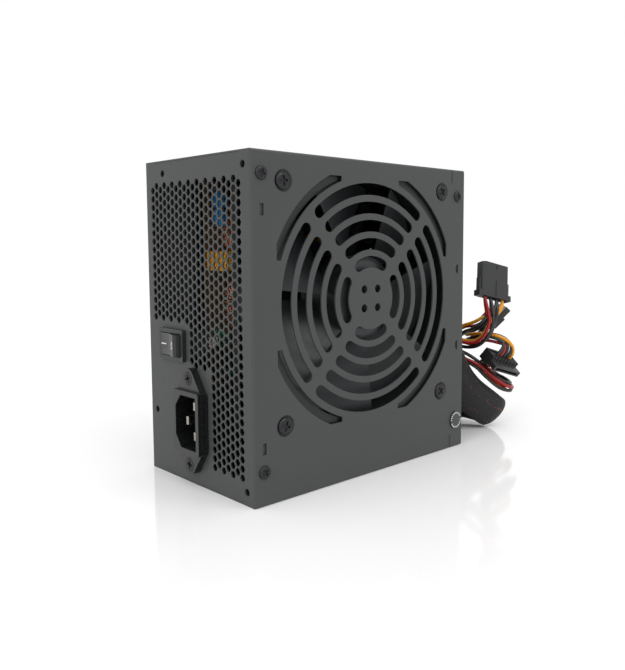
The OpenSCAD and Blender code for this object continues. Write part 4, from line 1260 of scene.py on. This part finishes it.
@dataclass
class Casing:
    """The folded base with its honeycomb vents, and the cover with its fan grill."""

    rear_x: float = -70.0
    floor_y: float = 43.0
    sheet: float = 0.8
    fold_r: float = 1.2
    flange_y: float = -42.1
    height: float = 150.0
    tab_y0: float = -34.6
    tab_y1: float = 35.1
    tab_h: float = 0.9
    vent_flats: float = 3.1
    vent_pitch: float = 4.03
    vent_step: float = 3.5
    vent_y0: float = 36.3
    vent_top: float = 136.4
    vent_columns: tuple[int, ...] = (16,) * 9 + (21,) * 5 + (32,) * 7
    round_r: float = 0.15
    switch: tuple[float, float, float, float] = (19.8, 64.0, 9.6, 6.6)
    inlet: tuple[float, float, float, float] = (2.8, 30.2, 10.1, 13.9)
    small_holes: tuple[tuple[float, float, float], ...] = (
        (2.8, 10.2, 1.6), (2.8, 50.2, 1.6), (-37, 144, 1.65), (-37, 6, 1.65), (27, 144, 1.65), (37, 30, 1.65),
    )

    def vents(self) -> list[Flat]:
        """Returns each vent's centre as Y and Z."""
        found = []
        for column, rows in enumerate(self.vent_columns):
            y = self.vent_y0 - self.vent_step * column
            top = self.vent_top + (column % 2) * self.vent_pitch / 2
            found += [(y, top - self.vent_pitch * row) for row in range(rows)]
        return found

    def loops(self) -> list[list[Flat]]:
        """Returns the rear panel's outline and then its larger cut-outs."""
        y1, h = self.floor_y - self.fold_r, self.height
        t, a, b = self.tab_h, self.tab_y0, self.tab_y1
        low = [(self.flange_y, 0), (a, 0), (a, t), (b, t), (b, 0), (y1, 0)]
        found = [[*low, *((y, h - z) for y, z in reversed(low))]]
        for y, z, half_y, half_z in (self.switch, self.inlet):
            corners = ((-1, -1), (1, -1), (1, 1), (-1, 1))
            found.append([(y + half_y * right, z + half_z * up) for right, up in corners])
        for y, z, r in self.small_holes:
            found.append([(y + a, z + b) for a, b in ring_of(r, 28)])
        return found

    def collar(self) -> bpy.types.Mesh:
        """Returns one vent's wall with rounded lips."""
        r, b, t = self.vent_flats / math.sqrt(3), self.round_r, self.sheet
        lip = [(r + b, 0.0), (r + 0.3 * b, 0.3 * b), (r, b)]
        bm = bmesh.new()
        # from the back to the front, so that the wall's faces look into the hole
        rows = [*((radius, t - z) for radius, z in lip), *reversed(lip)]
        rings = []
        for radius, z in rows:
            rings.append([bm.verts.new((x * MM, y * MM, z * MM)) for x, y in ring_of(radius, 6)])
        bands(bm, rings)
        return mesh_from(bm, "vent_collar")

    def rear_panel(self) -> bpy.types.Mesh:
        """Returns the punched rear panel, in place."""
        verts: list[Point] = []
        edges: list[tuple[int, int]] = []
        walls = bmesh.new()
        for loop in self.loops():
            first = len(verts)
            verts += [(y * MM, z * MM, 0.0) for y, z in loop]
            edges += [(first + k, first + (k + 1) % len(loop)) for k in range(len(loop))]
            depths = (0.0, self.sheet * MM)
            bands(walls, [[walls.verts.new((y * MM, z * MM, depth)) for y, z in loop] for depth in depths])
        verts += [(y * MM, z * MM, 0.0) for y, z in self.vents()]
        shape = bpy.data.meshes.new("rear_outline")
        shape.from_pydata(verts, edges, [])
        collar = helper_object(self.collar())
        radius = (self.vent_flats / math.sqrt(3) + self.round_r) * MM
        values = {"Hole Radius": radius, "Thickness": self.sheet * MM, "Collar": collar}
        sheet = panel_recipe().cook({**values, "Finish": POWDER_COAT.material()}, shape)
        bpy.data.objects.remove(collar)
        panel = joined("rear_panel", [sheet, mesh_from(walls, "walls")])
        # the sheet is drawn in its own plane, and then stood up with its face towards -X
        panel.transform(Matrix(((0, 0, 1, self.rear_x * MM), (1, 0, 0, 0), (0, 1, 0, 0), (0, 0, 0, 1))))
        return panel

    def folded_base(self) -> bpy.types.Mesh:
        """Returns the base: its rear panel punched anew, and the rest as it is in CAD."""
        rest = copy_of("base_shell")
        bm = bmesh.new()
        bm.from_mesh(rest)
        bmesh.ops.remove_doubles(bm, verts=bm.verts, dist=2e-6)
        inner = (self.rear_x + self.sheet + 0.05) * MM
        edge = (self.floor_y - self.fold_r + 0.001) * MM
        gone = [face for face in bm.faces if all(v.co.x < inner and v.co.y < edge for v in face.verts)]
        bmesh.ops.delete(bm, geom=gone, context="FACES")
        bm.to_mesh(rest)
        bm.free()
        return joined("base", [softened(rest, 0.15), self.rear_panel()])

    def build(self) -> None:
        """Makes both shells and the seal."""
        base = evened(self.folded_base())
        register("base_shell_finished", base, [POWDER_COAT], ["base_shell"])
        cover = softened(copy_of("cover_shell"), 0.22, 2)
        register("cover_shell_finished", cover, [POWDER_COAT], ["cover_shell"])
        refinish("seal_label", SEAL, 0.02)


@dataclass
class Fasteners:
    """Pan head and countersunk screws with a cross recess."""

    cover_at: Sequence[Flat] = ((-65.2, 140.3), (64.3, 136.0), (-65.2, 15.0))
    fan_at: Sequence[Flat] = ((-53.5, 32.8), (-53.5, 137.8), (51.5, 32.8), (51.5, 137.8))
    inlet_at: Sequence[Flat] = ((2.8, 10.2), (2.8, 50.2))
    sealed_at: Flat = (64.3, 15.0)
    cover_seat: float = -43.0
    fan_seat: float = -42.0
    inlet_seat: float = -73.45
    thread_pitch: float = 0.4
    thread_depth: float = 0.12

    def head(self, radius: float, height: float, shank: float, length: float, flat: bool) -> bpy.types.Mesh:
        """Makes one screw along +Y, its head's seat at the origin.

        Args:
            radius: the head's radius.
            height: the head's height.
            shank: the thread's radius.
            length: the thread's length.
            flat: whether the head is countersunk.

        Returns:
            The screw's mesh in metres.
        """
        if flat:
            profile = [(-0.05, 0.3), (-0.05, radius * 0.6), (0.0, radius), (0.25, radius), (height, shank)]
        else:
            crown = ((1, 0.1), (1, 0.5), (0.96, 0.68), (0.87, 0.82))
            side = ((0.72, 0.92), (0.5, 0.98), (0.3, 1), (0, 1))
            profile = [*((-height * share, radius * reach) for share, reach in (*crown, *side)), (0.0, shank)]
        turns = int(length / self.thread_pitch)
        seat = height * flat
        for k in range(turns):
            profile.append((seat + length * (k + 1) / turns, shank - self.thread_depth * (k % 2)))
        bm = lathe(profile, 28, (0, 0, 0))
        target = helper_object(mesh_from(bm, "screw_blank"))
        cut = bmesh.new()
        top = -height if not flat else -0.05
        long, half, deep = radius * 0.58, radius * 0.13, height * 0.62
        for k in range(2):
            turn = Matrix.Rotation(math.radians(45 + 90 * k), 4, "Y")
            box_mesh(cut, (-long, top - 1.0, -half), (long, top + deep, half), turn)
        cutter = helper_object(mesh_from(cut, "recess"))
        difference = target.modifiers.new("recess", "BOOLEAN")
        difference.object, difference.solver, difference.use_self = cutter, "EXACT", True
        mesh = settled(target)
        bpy.data.objects.remove(cutter)
        return softened(mesh, 0.12, 1, 35, merge=False)

    def build(self) -> None:
        """Makes all the screws that show."""
        low = self.head(2.9, 0.6, 1.45, 4.0, False)
        x, z = self.sealed_at
        low.transform(Matrix.Translation((x * MM, self.cover_seat * MM, z * MM)))
        pan = self.head(2.9, 1.1, 1.45, 4.0, False)
        seats = [(x, self.cover_seat, z) for x, z in self.cover_at]
        cover = joined("cover_screws", [spread(pan, seats, BLACK_OXIDE, loose=1.5), low])
        register("cover_screws_finished", cover, [BLACK_OXIDE], ["cover_screws"])
        large = self.head(3.8, 1.5, 2.05, 9.0, False)
        four = spread(large, [(x, self.fan_seat, z) for x, z in self.fan_at], BLACK_OXIDE, loose=1.5)
        register("fan_screws_finished", four, [], ["fan_screws"])
        flat = self.head(3.2, 1.7, 1.5, 6.0, True)
        flat.transform(Matrix.Rotation(math.radians(-90), 4, "Z"))
        places = [(self.inlet_seat, y, z) for y, z in self.inlet_at]
        pair = spread(flat, places, BLACK_OXIDE, (1.0, 0.0, 0.0), loose=1.2)
        register("inlet_screws_finished", pair, [], ["inlet_screws"])


# ---- fan -------------------------------------------------------------------------------------


@dataclass
class CoolingFan:
    """The fan: frame, rotor with swept blades, and the motor behind the hub."""

    centre: tuple[float, float] = (-1.0, 85.3)
    front: float = -41.1
    hub_r: float = 20.0
    blade_r: float = 56.4
    blades: int = 7
    span: float = 43.0
    fall: float = 16.5

    def blade_point(self, share: float, along: float, side: float) -> Point:
        """Returns a point of a blade's surface round the fan's axis.

        Args:
            share: from 0 at the hub to 1 at the tip.
            along: from 0 at the leading edge to 1 at the trailing edge.
            side: 0 on the front and 1 on the back.
        """
        radius = self.hub_r - 0.8 + (self.blade_r - self.hub_r + 0.8) * share
        turn = math.radians(-19 + self.span * along + 9 * along * share * share)
        thick = (1.7 - 0.8 * share) * (0.35 + 0.65 * math.sin(math.pi * min(max(along, 0.04), 0.96)) ** 0.5)
        y = self.front + 3.5 + self.fall * (1 - (1 - along) ** 1.25) + side * thick
        return radius * math.cos(turn), y, -radius * math.sin(turn)

    def blade(self) -> bpy.types.Mesh:
        """Returns one closed blade round the origin."""
        rows, steps = 12, 20
        bm = bmesh.new()
        grids = [
            [
                [
                    bm.verts.new(tuple(c * MM for c in self.blade_point(i / rows, j / steps, side)))
                    for j in range(steps + 1)
                ]
                for i in range(rows + 1)
            ]
            for side in (0.0, 1.0)
        ]
        for grid in grids:
            for i in range(rows):
                for j in range(steps):
                    bm.faces.new((grid[i][j], grid[i + 1][j], grid[i + 1][j + 1], grid[i][j + 1]))
        front, back = grids
        rim = (
            [(0, j) for j in range(steps)]
            + [(i, steps) for i in range(rows)]
            + [(rows, j) for j in range(steps, 0, -1)]
            + [(i, 0) for i in range(rows, 0, -1)]
        )
        for (a, b), (c, d) in zip(rim, [*rim[1:], rim[0]]):
            bm.faces.new((front[a][b], front[c][d], back[c][d], back[a][b]))
        bmesh.ops.recalc_face_normals(bm, faces=bm.faces)
        return softened(mesh_from(bm, "blade"), 0.25, 2, 50, merge=False)

    def build(self) -> None:
        """Makes the fan's pieces."""
        x, z = self.centre
        step = math.tau / self.blades
        ring = spread(self.blade(), [(x, 0.0, z)] * self.blades, PBT, step=step)
        y = self.front + 1.6
        cap = [(0, 0.5), (0, 17.4), (0.25, 18.8), (0.9, 19.7), (1.8, self.hub_r)]
        skirt = [(19.4, self.hub_r), (19.4, 18.4), (1.9, 18.4), (1.8, 0.5)]
        hub = lathe([(y + a, r) for a, r in (*cap, *skirt)], 64, (x, 0, z))
        hub_mesh = softened(mesh_from(hub, "hub"), 0.15, 1, 40, merge=False)
        rotor = joined("rotor", [ring, hub_mesh])
        register("fan_rotor_finished", rotor, [PBT], ["fan_rotor"], Body.ROTOR)
        refinish("fan_frame", FRAME_PBT, 0.3)
        refinish("fan_magnet", FERRITE, 0.2, Body.ROTOR)
        refinish("fan_shaft", BRIGHT_STEEL, 0.15, Body.ROTOR)
        refinish("fan_bearing", BRONZE, 0.15)
        refinish("fan_stator", LAMINATIONS, 0.1)


# ---- switch and inlet ------------------------------------------------------------------------


@dataclass
class RearFittings:
    """The rocker switch and the mains inlet."""

    pivot: Point = (-68.6, 19.8, 64.0)
    travel: float = 20.0
    face: float = -3.6
    mark_at: float = 5.0
    # how far the ink stands out of the face, and how deep it goes
    proud: float = 0.06
    deep: float = 0.5

    def marks(self) -> bpy.types.Mesh:
        """Returns the paint in the rocker's on and off marks."""
        tilt = math.radians(self.travel / 2)
        bm = bmesh.new()
        seat = Matrix.Translation(tuple(c * MM for c in self.pivot)) @ Matrix.Rotation(-tilt, 4, "Z")
        face = (self.face - self.mark_at * math.tan(tilt)) * MM
        on, off = (
            seat
            @ Matrix.Translation((face, side * self.mark_at * MM, 0))
            @ Matrix.Rotation(side * tilt, 4, "Z")
            for side in (1, -1)
        )
        box_mesh(bm, (-self.proud, -2.1, -0.24), (self.deep, 2.1, 0.24), on)
        rings = [
            [bm.verts.new(off @ Vector((d * MM, a * MM, b * 1.25 * MM))) for a, b in ring_of(r, 32)]
            for r, d in ((1.0, -self.proud), (1.4, -self.proud), (1.4, self.deep), (1.0, self.deep))
        ]
        bands(bm, [*rings, rings[0]])
        bmesh.ops.recalc_face_normals(bm, faces=bm.faces)
        return mesh_from(bm, "marks")

    def build(self) -> None:
        """Makes the switch's and the inlet's pieces."""
        refinish("switch_housing", NYLON, 0.3)
        refinish("rocker", ROCKER_NYLON, 0.25, Body.ROCKER)
        register("rocker_marks", self.marks(), [WHITE_PRINT], body=Body.ROCKER)
        refinish("switch_terminals", NICKEL, 0.1)
        refinish("inlet_housing", THERMOSET, 0.35)
        refinish("inlet_pins", NICKEL, 0.35)


# ---- board -----------------------------------------------------------------------------------


@dataclass
class Board:
    """The circuit board and what stands on it."""

    board_y: float = 34.0
    # each ring core's X and Z and its outer radius
    filter_rings: tuple[Point, ...] = ((-30, 119.4, 11.5), (-29, 80, 13))
    output_ring: Point = (54.8, 69.4, 13.5)

    def turn(self, low: float, high: float, thick: float, wire: float, start: float) -> bpy.types.Mesh:
        """Makes one turn of wire round a ring core whose axis is X.

        Args:
            low: the turn's inner radius.
            high: its outer radius.
            thick: its size along the core's axis.
            wire: the wire's radius.
            start: its angle round the core.
        """
        c = 2.2 * wire
        half, top, bottom = thick / 2 - c, high - c, low + c
        corners = ((half, top), (-half, top), (-half, bottom), (half, bottom))
        bends = [(x, r, math.radians(90 * k + t)) for k, (x, r) in enumerate(corners) for t in (0, 45, 90)]
        points = [(x + c * math.cos(turn), r + c * math.sin(turn)) for x, r, turn in bends]
        points.append(points[0])
        line = np.array([(x, -r * math.sin(start), r * math.cos(start)) for x, r in points])
        tube = TubeMesh()
        tube.add(line, wire, wire, 7)
        return tube.mesh("turn")

    def wind(
        self, ring: Point, inner: float, thick: float, parts: int, count: int, wire: float
    ) -> list[bpy.types.Mesh]:
        """Lays the windings of one ring core.

        Args:
            ring: the core's X and Z and its outer radius.
            inner: its inner radius.
            thick: its thickness.
            parts: how many windings share it.
            count: the turns of each.
            wire: the wire's radius.

        Returns:
            One mesh for each winding.
        """
        x, z, outer = ring
        gap = math.radians(24)
        step = (math.tau / parts - gap) / (count - 1)
        places = [(x, self.board_y - outer - 0.2, z)] * count
        starts = [math.tau * k / parts + gap / 2 for k in range(parts)]
        sizes = (inner - 1.9 * wire, outer + wire * 0.2, thick + 4 * wire, wire)
        return [
            spread(self.turn(*sizes, start), places, ENAMELLED_COPPER, (1.0, 0.0, 0.0), step, 0.02)
            for start in starts
        ]

    def windings(self) -> None:
        """Lays the copper turns on the three ring cores."""
        small = [mesh for ring in self.filter_rings for mesh in self.wind(ring, ring[2] - 6, 7, 2, 14, 0.5)]
        large = self.wind(self.output_ring, 6.5, 9, 3, 9, 0.6)
        for node, meshes in (("filter_choke_windings", small), ("output_choke_winding", large)):
            register(f"{node}_wound", joined("windings", meshes), [ENAMELLED_COPPER], [node])

    def build(self) -> None:
        """Makes the board's pieces."""
        self.windings()
        plain = {
            "circuit_board": PHENOLIC,
            "insulating_sheet": FILM,
            "board_standoffs": NICKEL,
            "board_screws": BRIGHT_STEEL,
            "filter_choke_cores": CORE_GREEN,
            "x_capacitor": BOX_YELLOW,
            "y_capacitors": DIPPED_BLUE,
            "fuse": CERAMIC,
            "thermistor": DIPPED_DARK,
            "bridge_rectifier": EPOXY_PACKAGE,
            "bulk_capacitors": SLEEVE_PVC,
            "output_capacitors": SLEEVE_PVC,
            "primary_heatsink": MILL_ALUMINIUM,
            "secondary_heatsink": MILL_ALUMINIUM,
            "power_transistors": EPOXY_PACKAGE,
            "output_rectifiers": EPOXY_PACKAGE,
            "transformer_core": FERRITE,
            "transformer_winding": WINDING_TAPE,
            "standby_transformer": WINDING_TAPE,
            "device_screws": BRIGHT_STEEL,
            "output_choke_core": CORE_YELLOW,
            "control_chips": EPOXY_PACKAGE,
            "mains_leads": PVC["green"],
            "fan_lead": PVC["black"],
            "output_leads": PVC["black"],
        }
        for node, finish in plain.items():
            refinish(node, finish, 0.15)


# ---- main ------------------------------------------------------------------------------------


def main() -> None:
    """Builds everything in order."""
    logging.basicConfig(level=logging.INFO, format="%(name)s: %(message)s")
    studio = Studio()
    studio.set_camera()
    Harness().build()
    Casing().build()
    Fasteners().build()
    CoolingFan().build()
    RearFittings().build()
    Board().build()
    studio.build()
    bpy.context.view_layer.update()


if __name__ == "__main__":
    main()
